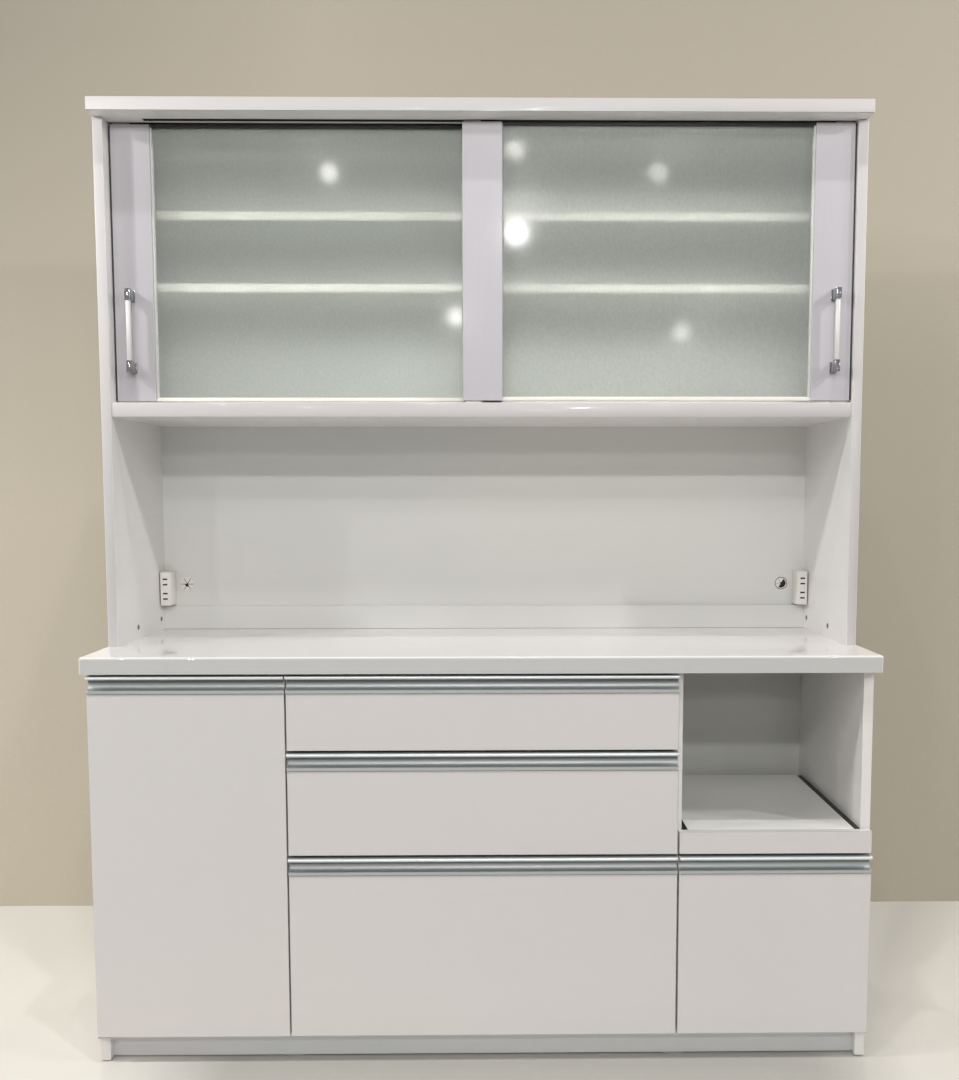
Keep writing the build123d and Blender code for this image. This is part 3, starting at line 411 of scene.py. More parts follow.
# How each finish is made, and where it differs from others made that way.
FINISHES = {
    "film": (film_finish,),
    "panel": (film_finish,),
    "kick": (film_finish, 0.38, 0.2),
    "inside": (matt_film_finish,),
    "bay": (matt_film_finish, 0.5),
    "drawer": (matt_film_finish, 0.58),
    "counter": (lacquer_finish, 0.02, 0.22, "counter_front"),
    "tray": (lacquer_finish, 0.02, 0.22),
    "lacquer": (lacquer_finish,),
    "band": (satin_finish, 0.42, 300, 0.00002, 0.10),
    "shelf_band": (satin_finish, 0.4),
    "stile": (stile_finish,),
    "bead": (satin_finish, 0.32),
    "bead_side": (satin_finish, 0.25),
    "rail": (satin_finish, 0.35),
    "glass": (glass_finish,),
    "aluminium": (aluminium_finish,),
    "chrome": (chrome_finish,),
    "pull_bar": (bar_finish,),
    "steel": (steel_finish, 0.34, 1.0, "black"),
    "black": (steel_finish, 0.38, 0.3),
    "liner": (satin_finish, 0.45),
    "plastic": (satin_finish, 0.30),
    "grey": (satin_finish, 0.5),
    "cap": (satin_finish, 0.45),
    "rubber": (satin_finish, 0.5),
    "dark": (satin_finish, 0.7),
}
MADE = {}


def finish(key):
    """The finish's material, made on first use in the name and colour of its setting."""
    if key not in MADE:
        maker, *rest = FINISHES[key]
        name = colours().bl_rna.properties[key].name
        MADE[key] = maker(name, getattr(colours(), key), *rest)
    return MADE[key]


def dress(nodes, key):
    """Gives CAD nodes a finish in place of the plain one that they came with."""
    for name in nodes:
        mesh = frame["nodes"][name].data
        mesh.materials.clear()
        mesh.materials.append(finish(key))


# ---- mesh making

def piece(name, shape, keys, body, replaces=()):
    """Turns a bmesh into a named piece that rides on a body."""
    mesh = bpy.data.meshes.new(name)
    bmesh.ops.remove_doubles(shape, verts=shape.verts, dist=1e-7)
    bmesh.ops.recalc_face_normals(shape, faces=shape.faces)
    for face in shape.faces:
        face.smooth = True
    shape.to_mesh(mesh)
    shape.free()
    mesh.set_sharp_from_angle(angle=radians(32))
    for key in keys:
        mesh.materials.append(finish(key))
    made = bpy.data.objects.new(name, mesh)
    bpy.context.scene.collection.objects.link(made)
    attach(made, body)
    if replaces:
        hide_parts(*replaces)
    return made


def ease(made, label, width, angle):
    """Rounds the edges that are sharper than an angle, in two steps."""
    bevel = made.modifiers.new(label, "BEVEL")
    bevel.width, bevel.segments = width, 2
    bevel.limit_method, bevel.angle_limit = "ANGLE", radians(angle)
    bevel.harden_normals = True


def loft(shape, rings, index=0, capped=True):
    """Skins equal rings of points, closes both ends if asked, and returns the vertices."""
    rows = [[shape.verts.new(p) for p in ring] for ring in rings]
    count = len(rows[0])
    faces = [(low[i], low[(i + 1) % count], high[(i + 1) % count], high[i])
             for low, high in zip(rows, rows[1:]) for i in range(count)]
    if capped:
        faces += [rows[0][::-1], rows[-1]]
    for face in faces:
        shape.faces.new(face).material_index = index
    return rows


def rounded_rectangle(width, height, radius, steps):
    """Points round a rectangle with rounded corners, about the middle."""
    points = []
    for quarter, (sx, sy) in enumerate(((1, 1), (-1, 1), (-1, -1), (1, -1))):
        for k in range(steps + 1):
            a = radians(90 * quarter + 90 * k / steps)
            points.append((sx * (width / 2 - radius) + radius * cos(a),
                           sy * (height / 2 - radius) + radius * sin(a)))
    return points


def block(shape, low, high, radius, chamfer, axis="Z", index=0, steps=3):
    """A block with four edges rounded along an axis and its two ends eased."""
    low, high = Vector(low), Vector(high)
    middle, size = (low + high) / 2, high - low
    a, b, c = {"X": (1, 2, 0), "Y": (0, 2, 1), "Z": (0, 1, 2)}[axis]
    eases = ((0.0, chamfer), (chamfer * 0.3, chamfer * 0.3), (chamfer, 0.0))
    rings = []
    for offset, inset in (*eases, *((size[c] - d, e) for d, e in reversed(eases))):
        ring = []
        for p, q in rounded_rectangle(size[a] - 2 * inset, size[b] - 2 * inset,
                                      max(radius - inset, radius * 0.3), steps):
            point = Vector((0, 0, 0))
            point[a], point[b], point[c] = middle[a] + p, middle[b] + q, low[c] + offset
            ring.append(point)
        rings.append(ring)
    loft(shape, rings, index)


def lathe(shape, profile, centre, axis, segments=32, index=0, closed=False):
    """Turns (radius, along) points round a level axis through centre."""
    along, up = Vector(axis), Vector((0, 0, 1))
    across = along.cross(up)
    turns = [2 * pi * k / segments for k in range(segments)]
    rings = [[Vector(centre) + along * height + (up * cos(a) + across * sin(a)) * radius
              for a in turns] for radius, height in profile]
    loft(shape, rings + rings[:1] if closed else rings, index, capped=not closed)


def screw_head(shape, centre, axis, radius, rise, recess=0.5, segments=24):
    """A low domed head with a cross recess, built as rings that dip inside the cross."""
    along, up = Vector(axis), Vector((0, 0, 1))
    across = along.cross(up)
    arm, reach = radius * 0.17, radius * 0.58

    def ring(share, domed=True):
        points = []
        for k in range(segments):
            a = 2 * pi * k / segments
            u, v = radius * share * cos(a), radius * share * sin(a)
            height = rise * (1 - 0.55 * share * share) if domed else 0.0
            if min(abs(u), abs(v)) < arm and max(abs(u), abs(v)) < reach:
                height -= rise * recess
            points.append(Vector(centre) + up * u + across * v + along * height)
        return points

    shares = (0.13, 0.22, 0.40, 0.56, 0.62, 0.80, 0.93, 1.0)
    rows = loft(shape, [ring(share) for share in shares] + [ring(1.0, domed=False)],
                capped=False)
    hub = shape.verts.new(ring(0.0)[0])
    for first, following in zip(rows[0], rows[0][1:] + rows[0][:1]):
        shape.faces.new((hub, first, following))
    shape.faces.new(rows[-1])


def outline(across, up):
    """The places round the outside of a grid, in order."""
    return ([(i, 0) for i in range(across)] + [(across, j) for j in range(up)]
            + [(i, up) for i in range(across, 0, -1)] + [(0, j) for j in range(up, 0, -1)])


def stepped_plate(shape, xs, zs, sunk, depth, front, back):
    """A plate that faces -Y, with the sunk cells as pockets in the second finish."""
    columns, rows = len(xs) - 1, len(zs) - 1
    corners = {}

    def corner(place, y):
        key = (place, round(y, 6))
        if key not in corners:
            corners[key] = shape.verts.new((xs[place[0]], y, zs[place[1]]))
        return corners[key]

    def level(i, j):
        if not (0 <= i < columns and 0 <= j < rows):
            return back
        return front + depth if (i, j) in sunk else front

    for i in range(columns):
        for j in range(rows):
            y = level(i, j)
            cell = [(i, j), (i + 1, j), (i + 1, j + 1), (i, j + 1)]
            shape.faces.new([corner(p, y) for p in cell]).material_index = int((i, j) in sunk)
            for p, q, (di, dj) in zip(cell, cell[1:] + cell[:1],
                                      ((0, -1), (1, 0), (0, 1), (-1, 0))):
                other = level(i + di, j + dj)
                if other > y:
                    wall = (corner(p, y), corner(q, y), corner(q, other), corner(p, other))
                    shape.faces.new(wall).material_index = int(other < back)
    shape.faces.new([corner(p, back) for p in outline(columns, rows)])


def rubber_leaf(shape, centre, first, last, start, stop, slit):
    """A thin wedge of rubber between two radii and two angles, bent out towards its tip."""
    steps, spans, stand, thickness, bend = 7, 8, 0.9 * MM, 0.8 * MM, 1.3 * MM
    sheets = []
    for level in (stand, stand + thickness):
        corners = {}
        for i in range(steps + 1):
            share = first + (1 - first) * i / steps
            radius = last * share
            low, high = start + slit / radius, stop - slit / radius
            for j in range(spans + 1):
                a = low + (high - low) * j / spans
                corners[i, j] = shape.verts.new(centre + Vector((
                    radius * cos(a), level + (1 - share) * bend, radius * sin(a))))
        for i in range(steps):
            for j in range(spans):
                shape.faces.new((corners[i, j], corners[i + 1, j], corners[i + 1, j + 1],
                                 corners[i, j + 1]))
        sheets.append(corners)
    front, back = sheets
    edge = outline(steps, spans)
    for p, q in zip(edge, edge[1:] + edge[:1]):
        shape.faces.new((front[p], front[q], back[q], back[p]))


def mirrored(points):
    """A section's half followed by its mirror image, back to the start."""
    return points + [(-across, up) for across, up in reversed(points)]


# ---- operators

class KITCHEN_OT_soften_edges(bpy.types.Operator):
    """Ease the edges of the boards and frames so that they catch the light"""
    bl_idname = "kitchen_board.soften_edges"
    bl_label = "Soften Edges"

    def execute(self, context):
        width = sizes().edge_softening
        boards = BASE_BOARDS + HUTCH_BOARDS + FRONTS
        boards += ["base_bottom_board", "kickboard", "hutch_rear_rail", "hutch_shelves",
                   "base_shelves", "tray_board"]
        slim = [d + s for d in GLASS_DOORS for s in ("_stiles", "_frame", "_glides")]
        slim += ["counter_top"]
        for names, amount in ((boards, width), (slim, width * 0.5)):
            for name in names:
                node = frame["nodes"][name]
                node.modifiers.new("Join seams", "WELD").merge_threshold = 1e-6
                ease(node, "Eased edges", amount, 40)
        return {"FINISHED"}


class KITCHEN_OT_finish_boards(bpy.types.Operator):
    """Cover the boards with white film, matt film and gloss lacquer"""
    bl_idname = "kitchen_board.finish_boards"
    bl_label = "Finish Boards"

    def execute(self, context):
        dress(BASE_BOARDS + HUTCH_BOARDS, "film")
        dress(["hutch_back_panel", "hutch_rear_rail"], "panel")
        dress(["base_bottom_board", "base_top_rails", "base_shelves", "hutch_shelves",
               "hutch_partition"], "inside")
        # The open bay's back takes the darker bay film, a painted shade.
        dress(["base_back_panel"], "bay")
        dress(["kickboard"], "kick")
        dress(["counter_top"], "counter")
        dress(["tray_board"], "tray")
        dress(FRONTS, "lacquer")
        dress([d + "_box" for d in DRAWERS], "drawer")
        return {"FINISHED"}


class KITCHEN_OT_finish_glass_doors(bpy.types.Operator):
    """Finish the stiles, frames, mist glass and glides of the sliding doors"""
    bl_idname = "kitchen_board.finish_glass_doors"
    bl_label = "Finish Glass Doors"

    def execute(self, context):
        for part, key in (("_stiles", "stile"), ("_frame", "bead"), ("_pane", "glass"),
                          ("_glides", "plastic")):
            dress([d + part for d in GLASS_DOORS], key)
        for door in GLASS_DOORS:
            frame["nodes"][door + "_pane"].visible_shadow = False
        return {"FINISHED"}


class KITCHEN_OT_door_trim(bpy.types.Operator):
    """Build the slim rails and beads that hold each pane"""
    bl_idname = "kitchen_board.door_trim"
    bl_label = "Door Trim"

    def execute(self, context):
        wide, thin, head, foot, ends = 3.8 * MM, 1.8 * MM, 5.5 * MM, 8 * MM, 0.1 * MM
        for door, side in GLASS_DOORS.items():
            low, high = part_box(door + "_frame")
            shape = bmesh.new()
            # The wide bead stands by the outer stile, the thin one by the doors' overlap.
            left, right = (wide, thin) if side < 0 else (thin, wide)
            rounding = 0.8 * MM if side < 0 else 0.4 * thin
            for x0, x1, index in ((low.x, low.x + left, 0 if side < 0 else 2),
                                  (high.x - right, high.x, 2 if side < 0 else 0)):
                block(shape, (x0, low.y, low.z + foot), (x1, high.y, high.z - head),
                      rounding, ends, index=index)
            block(shape, low, (high.x, high.y, low.z + foot), 1.2 * MM, ends,
                  axis="X", index=1)
            # The head rail takes the near-black liner finish, a painted shadow line at the
            # door's head.
            block(shape, (low.x, low.y, high.z - head), high, 0.8 * MM, ends,
                  axis="X", index=3)
            piece(door + "_trim", shape, ["bead_side", "bead", "rail", "liner"], door,
                  [door + "_frame"])
        return {"FINISHED"}


class KITCHEN_OT_door_buffers(bpy.types.Operator):
    """Clip black rubber buffers on the outer edges of the sliding doors, their black lip also a
    painted shadow line in the gap beside each door
    """
    bl_idname = "kitchen_board.door_buffers"
    bl_label = "Door Buffers"

    def execute(self, context):
        proud, short = 1.3 * MM, 1.5 * MM
        for door, side in GLASS_DOORS.items():
            low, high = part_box(door + "_stiles")
            edge = side * max(abs(low.x), abs(high.x))
            shape = bmesh.new()
            # The black lip on the door's face is a real buffer, widened to paint the dark shadow
            # line in the gap beside the door.
            lip = (1.4 * MM, low.y - 0.9 * MM, low.y + 1.6 * MM)
            strip = (0.1 * MM, low.y + 1.2 * MM, high.y - 3.0 * MM)
            for lap, y0, y1 in (lip, strip):
                x0, x1 = sorted((edge - side * lap, edge + side * proud))
                block(shape, (x0, y0, low.z + short), (x1, y1, high.z - short),
                      0.7 * MM, 0.3 * MM)
            piece(door + "_buffer", shape, ["rubber"], door)
        return {"FINISHED"}


class KITCHEN_OT_dust_covers(bpy.types.Operator):
    """Lay black covers over the tray's slides and a grey gasket under the rear rail"""
    bl_idname = "kitchen_board.dust_covers"
    bl_label = "Dust Covers"

    def execute(self, context):
        thickness = 0.8 * MM
        low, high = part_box("tray_slide_middle")
        level = high.z + 0.35 * MM
        shape = bmesh.new()
        for x0, x1 in SLIDE_COVERS:
            block(shape, (x0, low.y, level), (x1, high.y, level + thickness),
                  0.3 * MM, 0.2 * MM, axis="Y", steps=2)
        piece("tray_slide_covers", shape, ["rubber"], "cabinet")
        low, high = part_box("hutch_rear_rail")
        shape = bmesh.new()
        level = low.z + 0.05 * MM
        block(shape, (low.x, low.y - 0.4 * MM, level),
              (high.x, low.y + 0.4 * MM, level + thickness), 0.3 * MM, 0.15 * MM,
              axis="X", steps=2)
        piece("rear_rail_gasket", shape, ["grey"], "cabinet")
        return {"FINISHED"}


class KITCHEN_OT_finish_metalwork(bpy.types.Operator):
    """Finish the line handles, drawer slides, pins and pads"""
    bl_idname = "kitchen_board.finish_metalwork"
    bl_label = "Finish Metalwork"

    def execute(self, context):
        dress([d + "_handle" for d in DRAWERS] + ["lower_door_handle"], "aluminium")
        dress([d + s for d in DRAWERS for s in ("_slide_inner", "_slide_middle")]
              + ["slide_outer_members", "shelf_pins", "door_pivots"], "steel")
        dress(["tray_slide_inner", "tray_slide_middle"], "black")
        dress(["floor_pads"], "grey")
        return {"FINISHED"}


class KITCHEN_OT_edge_bands(bpy.types.Operator):
    """Lay thin edge bands on the front edges of the hutch's boards"""
    bl_idname = "kitchen_board.edge_bands"
    bl_label = "Edge Bands"

    def lay(self, name, spans, key, slot):
        """Lays one band on the front of each span, a low and a high corner."""
        proud, inset = sizes().band_thickness, sizes().band_inset
        shape = bmesh.new()
        for low, high in spans:
            block(shape, (low.x + inset, low.y - proud, low.z + inset),
                  (high.x - inset, low.y + proud, high.z - inset),
                  0.4 * MM, 0.25 * MM, axis="Y", steps=2)
        piece(name + "_edge_band", shape, [key], "cabinet")

    def execute(self, context):
        for name in HUTCH_BOARDS:
            self.lay(name, [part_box(name)], "band", "white_board")
        low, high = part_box("hutch_shelves")
        spans = [(Vector((side * SHELF_MIDDLE - SHELF_HALF, low.y, z)),
                  Vector((side * SHELF_MIDDLE + SHELF_HALF, high.y, z + SHELF_THICKNESS)))
                 for side in SIDES for z in (low.z, high.z - SHELF_THICKNESS)]
        self.lay("hutch_shelves", spans, "shelf_band", "inner_board")
        return {"FINISHED"}


class KITCHEN_OT_track_liners(bpy.types.Operator):
    """Line the grooves that the glass doors run in with thin channels"""
    bl_idname = "kitchen_board.track_liners"
    bl_label = "Track Liners"

    def execute(self, context):
        wall, half = sizes().liner_thickness, GROOVE_HALF - FIT
        for board, end, groove, up, lip, key, slot in (
                ("hutch_top_board", 0, TOP_GROOVE, 1, 3.0 * MM, "liner", "tray_slide"),
                ("hutch_sill_board", 1, SILL_GROOVE, -1, 1.2 * MM, "grey", "grey_plastic")):
            face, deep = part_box(board)[end].z, groove - 0.05 * MM
            section = (mirrored([(-half - lip, -wall), (-half - lip, -FIT), (-half, -FIT),
                                 (-half, deep)])
                       + mirrored([(half - wall, -wall), (half - wall, deep - wall)]))
            shape = bmesh.new()
            for side, track in TRACKS:
                loft(shape, [[(x, track + y, face + up * z) for y, z in section]
                             for x in sorted((side * TRACK_OUTER, -side * TRACK_INNER))])
            piece(board + "_track_liners", shape, [key], "cabinet")
        return {"FINISHED"}


class KITCHEN_OT_bar_pulls(bpy.types.Operator):
    """Build the chrome blocks and pale bars of the sliding doors' pulls"""
    bl_idname = "kitchen_board.bar_pulls"
    bl_label = "Bar Pulls"

    def execute(self, context):
        chamfer = sizes().pull_chamfer
        tall, foot, step = 24 * MM, 3.0 * MM, 0.9 * MM
        collar, bar, overlap = 5.2 * MM, 5.0 * MM, 0.5 * MM
        for door in GLASS_DOORS:
            low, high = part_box(door + "_pull")
            x = (low.x + high.x) / 2
            shape = bmesh.new()
            for z0, z1, inner in ((low.z, low.z + tall, low.z + tall),
                                  (high.z - tall, high.z, high.z - tall)):
                block(shape, (low.x, high.y - foot, z0), (high.x, high.y, z1),
                      1.0 * MM, 0.5 * MM, axis="Y")
                block(shape, (low.x + step, low.y, z0 + step),
                      (high.x - step, high.y - foot + 0.3 * MM, z1 - step),
                      chamfer, chamfer, axis="Y", steps=2)
                block(shape, (x - collar, low.y + 0.6 * MM, inner - 1.2 * MM),
                      (x + collar, low.y + 15.0 * MM, inner + 1.2 * MM),
                      2.0 * MM, 0.4 * MM)
            block(shape, (x - bar, low.y + 0.9 * MM, low.z + tall - overlap),
                  (x + bar, low.y + 12.4 * MM, high.z - tall + overlap),
                  4.6 * MM, 0.2 * MM, index=1, steps=8)
            piece(door + "_bar_pull", shape, ["chrome", "pull_bar"], door,
                  [door + "_pull"])
        return {"FINISHED"}


class KITCHEN_OT_socket_blocks(bpy.types.Operator):
    """Build the two socket blocks with their rims, slots and screws"""
    bl_idname = "kitchen_board.socket_blocks"
    bl_label = "Socket Blocks"

    def execute(self, context):
        low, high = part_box("power_outlets")
        rounding = sizes().socket_rounding
        width, step, pitch, slot_depth = 25 * MM, 1 * MM, 17 * MM, 1.3 * MM
        across = (-10.0, -5.4, 5.4, 10.0)
        upward = (-12.0, -8.2, -4.6, 4.6, 8.2, 12.0)
        slots = {(1, 1), (1, 3)}
        middle = (low.z + high.z) / 2
        shape = bmesh.new()
        for side in SIDES:
            x0, x1 = sorted((side * high.x, side * (high.x - width)))
            centre = (x0 + x1) / 2
            block(shape, (x0, low.y + 4 * MM, low.z), (x1, high.y, high.z),
                  rounding, 0.8 * MM, axis="Y", steps=4)
            block(shape, (x0 + step, low.y + 1.6 * MM, low.z + step),
                  (x1 - step, low.y + 5 * MM, high.z - step),
                  rounding, 1.0 * MM, axis="Y", steps=4)
            # The shallow slot pockets take the near-black second finish, a painted shade for
            # deep slots.
            for z in (middle - pitch, middle + pitch):
                stepped_plate(shape, [centre + v * MM for v in across],
                              [z + v * MM for v in upward], slots, slot_depth,
                              low.y, low.y + 10 * MM)
            screw_head(shape, (centre, low.y + 1.7 * MM, middle), (0, -1, 0), 2.6 * MM, 0.9 * MM)
        made = piece("socket_blocks", shape, ["plastic", "dark"], "cabinet",
                     ["power_outlets"])
        ease(made, "Moulded edges", 0.35 * MM, 60)
        return {"FINISHED"}


class KITCHEN_OT_cable_grommets(bpy.types.Operator):
    """Build the cable grommets with their rings and split rubber leaves"""
    bl_idname = "kitchen_board.cable_grommets"
    bl_label = "Cable Grommets"

    # Each side's hole, leaf radius and slit, which of its leaves are pushed aside, and
    # where those begin and the others do, as shares of the radius.
    FITTINGS = {"left": (-1, 15.8 * MM, 14.9 * MM, 0.62 * MM, (3, 4), 0.42),
                "right": (1, 16.6 * MM, 13.4 * MM, 0.34 * MM, (0, 4, 5), 0.84)}
    WHOLE = 0.16

    def execute(self, context):
        low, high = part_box("cable_grommets")
        depth, segments, leaves = 3.9 * MM, 48, 6
        for word, (side, hole, last, slit, pushed, begin) in self.FITTINGS.items():
            centre = Vector((side * GROMMET_MIDDLE, PANEL_FACE, (low.z + high.z) / 2))
            shape = bmesh.new()
            rim = [(hole + 0.4 * MM, depth), (hole + 0.4 * MM, 0.0), (17.7 * MM, 0.0),
                   (17.9 * MM, -0.4 * MM), (17.7 * MM, -0.9 * MM),
                   (hole + 0.6 * MM, -1.1 * MM), (hole + 0.1 * MM, -0.8 * MM),
                   (hole, -0.2 * MM), (hole, depth)]
            lathe(shape, rim, centre, (0, 1, 0), segments, closed=True)
            for k in range(leaves):
                first = begin if k in pushed else self.WHOLE
                rubber_leaf(shape, centre, first, last, 2 * pi * k / leaves,
                            2 * pi * (k + 1) / leaves, slit)
            # A near-black disc closes the hole behind the leaves, a painted shade for the open
            # hole.
            shade_disc_radius = hole + 0.2 * MM
            lathe(shape, [(shade_disc_radius, 3.2 * MM), (shade_disc_radius, 3.8 * MM)], centre, (0, 1, 0), segments,
                  index=1)
            piece("cable_grommet_" + word, shape, ["plastic", "dark"], "cabinet",
                  ["cable_grommets"])
        return {"FINISHED"}


class KITCHEN_OT_screw_caps(bpy.types.Operator):
    """Build the domed screw caps inside the hutch's sides"""
    bl_idname = "kitchen_board.screw_caps"
    bl_label = "Screw Caps"

    def execute(self, context):
        low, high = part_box("fixing_caps")
        z, radius = (low.z + high.z) / 2, (high.z - low.z) / 2
        rim = [(radius, 0.0), (radius, 0.3 * MM), (radius - 0.4 * MM, 0.7 * MM),
               (radius * 0.62, 0.8 * MM), (radius * 0.60, 0.35 * MM)]
        shape = bmesh.new()
        for side in SIDES:
            for y in (low.y + radius, high.y - radius):
                face = Vector((side * SIDE_FACE, y, z))
                inward = Vector((-side, 0, 0))
                lathe(shape, rim, face, inward)
                screw_head(shape, face + inward * 0.35 * MM, inward, radius * 0.56, 0.8 * MM,
                           recess=0.6)
        piece("screw_caps", shape, ["cap"], "cabinet", ["fixing_caps"])
        return {"FINISHED"}


class KITCHEN_OT_back_screws(bpy.types.Operator):
    """Drive the small screws that hold the thin back panels"""
    bl_idname = "kitchen_board.back_screws"
    bl_label = "Back Panel Screws"

    def execute(self, context):
        inset, across, up = 9 * MM, 6, 4
        for node in ("hutch_back_panel", "base_back_panel"):
            low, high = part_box(node)
            wide, tall = high.x - low.x - 2 * inset, high.z - low.z - 2 * inset
            shape = bmesh.new()
            for i, j in outline(across, up):
                screw_head(shape, (low.x + inset + wide * i / across, high.y - 0.05 * MM,
                                   low.z + inset + tall * j / up),
                           (0, 1, 0), 3.6 * MM, 1.1 * MM, segments=20)
            piece(node + "_screws", shape, ["steel"], "cabinet")
        return {"FINISHED"}


# ---- studio

REACH, WALL_HEIGHT = 9.0, 4.2  # the floor's half width and the wall's height
LAMPS = {  # place in metres, power in watts
    "near_left": (-0.665, -2.42, 2.5, 15),
    "near_right": (0.70, -2.46, 2.5, 9),
    "near_middle": (0.10, -2.16, 2.5, 10),
    "middle": (0.13, -3.51, 2.5, 84),
    "middle_left": (-2.02, -3.51, 2.5, 32),
    "middle_right": (2.08, -3.51, 2.5, 20),
    "far_left": (-0.27, -6.11, 2.5, 66),
    "far_right": (1.54, -6.93, 2.5, 40),
    "side_left": (-2.03, -0.95, 2.5, 50),
    "side_right": (2.06, -1.10, 2.5, 54),
    "wide_left": (-3.40, -0.95, 2.5, 112),
    "front_left": (-3.20, -2.00, 2.5, 48),
    "wide_right": (3.42, -1.10, 2.5, 72),
    "row_left": (-2.03, -2.42, 2.5, 8),
    "row_right": (2.06, -2.46, 2.5, 4),
    "above_left": (-0.665, -1.73, 6.0, 120),
    "above_middle": (0.05, -1.73, 6.0, 75),
    "above_right": (0.72, -1.73, 6.0, 180),
    "back_left": (-1.90, 2.90, 2.3, 60),
    "back_right": (1.70, 3.10, 2.4, 50),
}
LAMP_COLOUR = (1.0, 0.97, 0.95)
STRONG, GROWTH = 20.0, 0.4  # the power from which a lamp grows, and how fast
ROOM_BELOW, ROOM_ABOVE = (0.012, 0.012, 0.012), (0.07, 0.07, 0.07)
ROOM_SEEN = (0.50, 0.485, 0.455)


def slab(name, near, far, material):
    """A flat sheet as wide as the studio, between two lines given by their Y and Z."""
    mesh = bpy.data.meshes.new(name)
    mesh.from_pydata([(-REACH, *near), (REACH, *near), (REACH, *far), (-REACH, *far)], [],
                     [(0, 1, 2, 3)])
    mesh.materials.append(material)
    made = bpy.data.objects.new(name, mesh)
    bpy.context.scene.collection.objects.link(made)
    return made


def floor_finish(name, rgb):
    """Pale floor with soft shade before and beside the cabinet, dull to stray light."""
    f = Finish(name, rgb, 0.55)
    x, y, _ = f.axes()
    tint = f.tones(f.noise(1.2, detail=4), (0.985, 0), (1.01, 0))
    bounce = f.mix(f.spread(y, -0.75, -1.35), tint, shade(rgb, 0.38))
    slant = f.math("SUBTRACT", x, f.math("MULTIPLY", y, 0.5))
    before = (f.band(x, -0.62, 0.78, 0.10), f.band(y, -0.45, -0.10, 0.06))
    beside = (f.band(slant, 0.80, 0.94, 0.08), f.band(y, -0.22, 0.70, 0.05))
    for patch, factor in ((before, 0.60), (beside, 0.78)):
        tint = f.mix(f.math("MULTIPLY", *patch), tint, shade(rgb, factor))
    f.set(f.shader, Base_Color=f.mix(f.seen(), bounce, tint))
    return f.material


def wall_finish(name, rgb):
    """Woven wall covering with painted light and shade: brighter low down, darker towards the
    top and the top left, with a painted shadow of the cabinet low on the right; clear from
    behind.
    """
    f = Finish(name, rgb, 0.9, Specular_IOR_Level=0.1)
    x, _, z = f.axes()
    # Painted light and shade: brighter low down, darker towards the top.
    tint = f.mix(f.spread(z, 0.0, 2.6), shade(rgb, 1.14), shade(rgb, 0.72))
    # Painted shade in the top left corner.
    corner = f.math("MULTIPLY", f.spread(x, -0.45, -1.35), f.spread(z, 1.1, 2.4))
    tint = f.mix(f.math("MULTIPLY", corner, 0.6), tint, shade(rgb, 0.30))
    # Painted shadow of the cabinet, low on the right.
    cabinet_shadow_paint = f.math("MULTIPLY", f.spread(x, 0.2, 0.9), f.spread(z, 1.78, 1.50))
    tint = f.mix(f.math("MULTIPLY", cabinet_shadow_paint, 0.27), tint, shade(rgb, 0.54, -0.01))
    weave = f.noise(160, detail=3)
    f.set(f.shader, Base_Color=f.glaze(tint, weave, (0.3, 0.7), 0.06, 0.5))
    behind = f.add("ShaderNodeNewGeometry").outputs["Backfacing"]
    clear = f.add("ShaderNodeBsdfTransparent").outputs[0]
    either = f.add("ShaderNodeMixShader")
    for socket, value in zip(either.inputs, (behind, f.shader.outputs[0], clear)):
        f.feed(socket, value)
    f.set(f.nodes["Material Output"], Surface=either.outputs[0])
    return f.material


def hang_lamps(scene):
    """Hangs the lamps, which the camera doesn't see, the stronger ones larger."""
    for name, (*place, power) in LAMPS.items():
        lamp = bpy.data.lights.new("lamp_" + name, "POINT")
        lamp.energy = power
        lamp.color = LAMP_COLOUR
        lamp.shadow_soft_size = sizes().lamp_radius * max(1.0, (power / STRONG) ** GROWTH)
        holder = bpy.data.objects.new("lamp_" + name, lamp)
        holder.location = place
        holder.visible_camera = False
        scene.collection.objects.link(holder)


def light_room(scene):
    """Gives faint light from all round, where gloss and glass show a pale room."""
    world = bpy.data.worlds.new("Room")
    world.use_nodes = True
    room = Nodes(world.node_tree)
    faint = room.mix(room.spread(room.axes("Generated")[2], -0.1, 0.8), ROOM_BELOW, ROOM_ABOVE)
    room.set(room.nodes["Background"], Color=room.mix(room.seen(), faint, ROOM_SEEN),
             Strength=1.0)
    scene.world = world


def set_viewpoint(scene):
    """Stands the camera a little right of the middle at eye level, tipped down."""
    eye = bpy.data.cameras.new("viewpoint")
    eye.sensor_width, eye.lens = 36.0, 36.943
    eye.shift_x, eye.shift_y = -0.0287, 0.0479
    eye.clip_start, eye.clip_end = 0.05, 60.0
    viewpoint = bpy.data.objects.new("viewpoint", eye)
    viewpoint.location = (0.0287, -2.4273, 1.1605)
    viewpoint.rotation_euler = (pi / 2 - 0.0853, 0.0008, -0.0122)
    scene.collection.objects.link(viewpoint)
    scene.camera = viewpoint


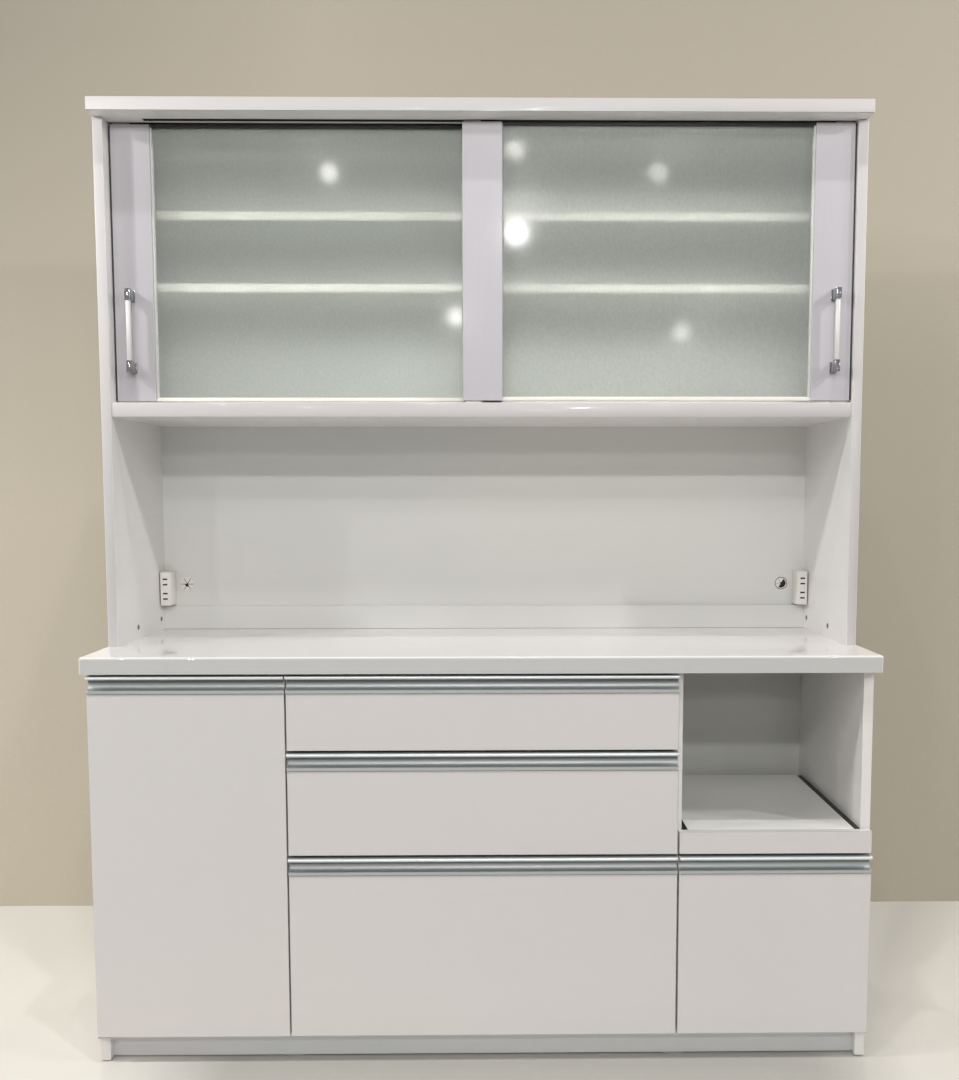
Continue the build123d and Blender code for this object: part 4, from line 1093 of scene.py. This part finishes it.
class KITCHEN_OT_studio(bpy.types.Operator):
    """Set up the floor, wall, ceiling lamps, room light and viewpoint"""
    bl_idname = "kitchen_board.studio"
    bl_label = "Studio"

    def execute(self, context):
        scene, y = context.scene, sizes().wall_distance
        slab("studio_floor", (-REACH, 0), (REACH, 0),
             floor_finish("Studio floor", colours().floor))
        backdrop = slab("studio_wall", (y, 0), (y, WALL_HEIGHT),
                        wall_finish("Studio wall", colours().wall))
        backdrop.visible_shadow = False
        hang_lamps(scene)
        light_room(scene)
        set_viewpoint(scene)
        scene.view_settings.view_transform = "Standard"
        return {"FINISHED"}


# ---- add-on

STEPS = (KITCHEN_OT_soften_edges, KITCHEN_OT_finish_boards, KITCHEN_OT_finish_glass_doors,
         KITCHEN_OT_door_trim, KITCHEN_OT_door_buffers, KITCHEN_OT_dust_covers,
         KITCHEN_OT_finish_metalwork, KITCHEN_OT_edge_bands, KITCHEN_OT_track_liners,
         KITCHEN_OT_bar_pulls, KITCHEN_OT_socket_blocks, KITCHEN_OT_cable_grommets,
         KITCHEN_OT_screw_caps, KITCHEN_OT_back_screws, KITCHEN_OT_studio)


class KITCHEN_PT_panel(bpy.types.Panel):
    """Sidebar panel with the settings and the steps in order"""
    bl_idname = "KITCHEN_PT_panel"
    bl_label = "Kitchen Board"
    bl_space_type = "VIEW_3D"
    bl_region_type = "UI"
    bl_category = "Kitchen Board"

    def draw(self, context):
        for group in (sizes(), colours()):
            column = self.layout.column(align=True)
            for key in group.__annotations__:
                column.prop(group, key)
        column = self.layout.column(align=True)
        for step in STEPS:
            column.operator(step.bl_idname)


CLASSES = (KitchenBoardSizes, KitchenBoardColours, *STEPS, KITCHEN_PT_panel)


def register():
    for cls in CLASSES:
        bpy.utils.register_class(cls)
    bpy.types.Scene.kitchen_board_sizes = PointerProperty(type=KitchenBoardSizes)
    bpy.types.Scene.kitchen_board_colours = PointerProperty(type=KitchenBoardColours)


def unregister():
    del bpy.types.Scene.kitchen_board_colours
    del bpy.types.Scene.kitchen_board_sizes
    for cls in reversed(CLASSES):
        bpy.utils.unregister_class(cls)


def main():
    register()
    for step in STEPS:
        family, name = step.bl_idname.split(".")
        getattr(getattr(bpy.ops, family), name)()


if __name__ == "__main__":
    main()
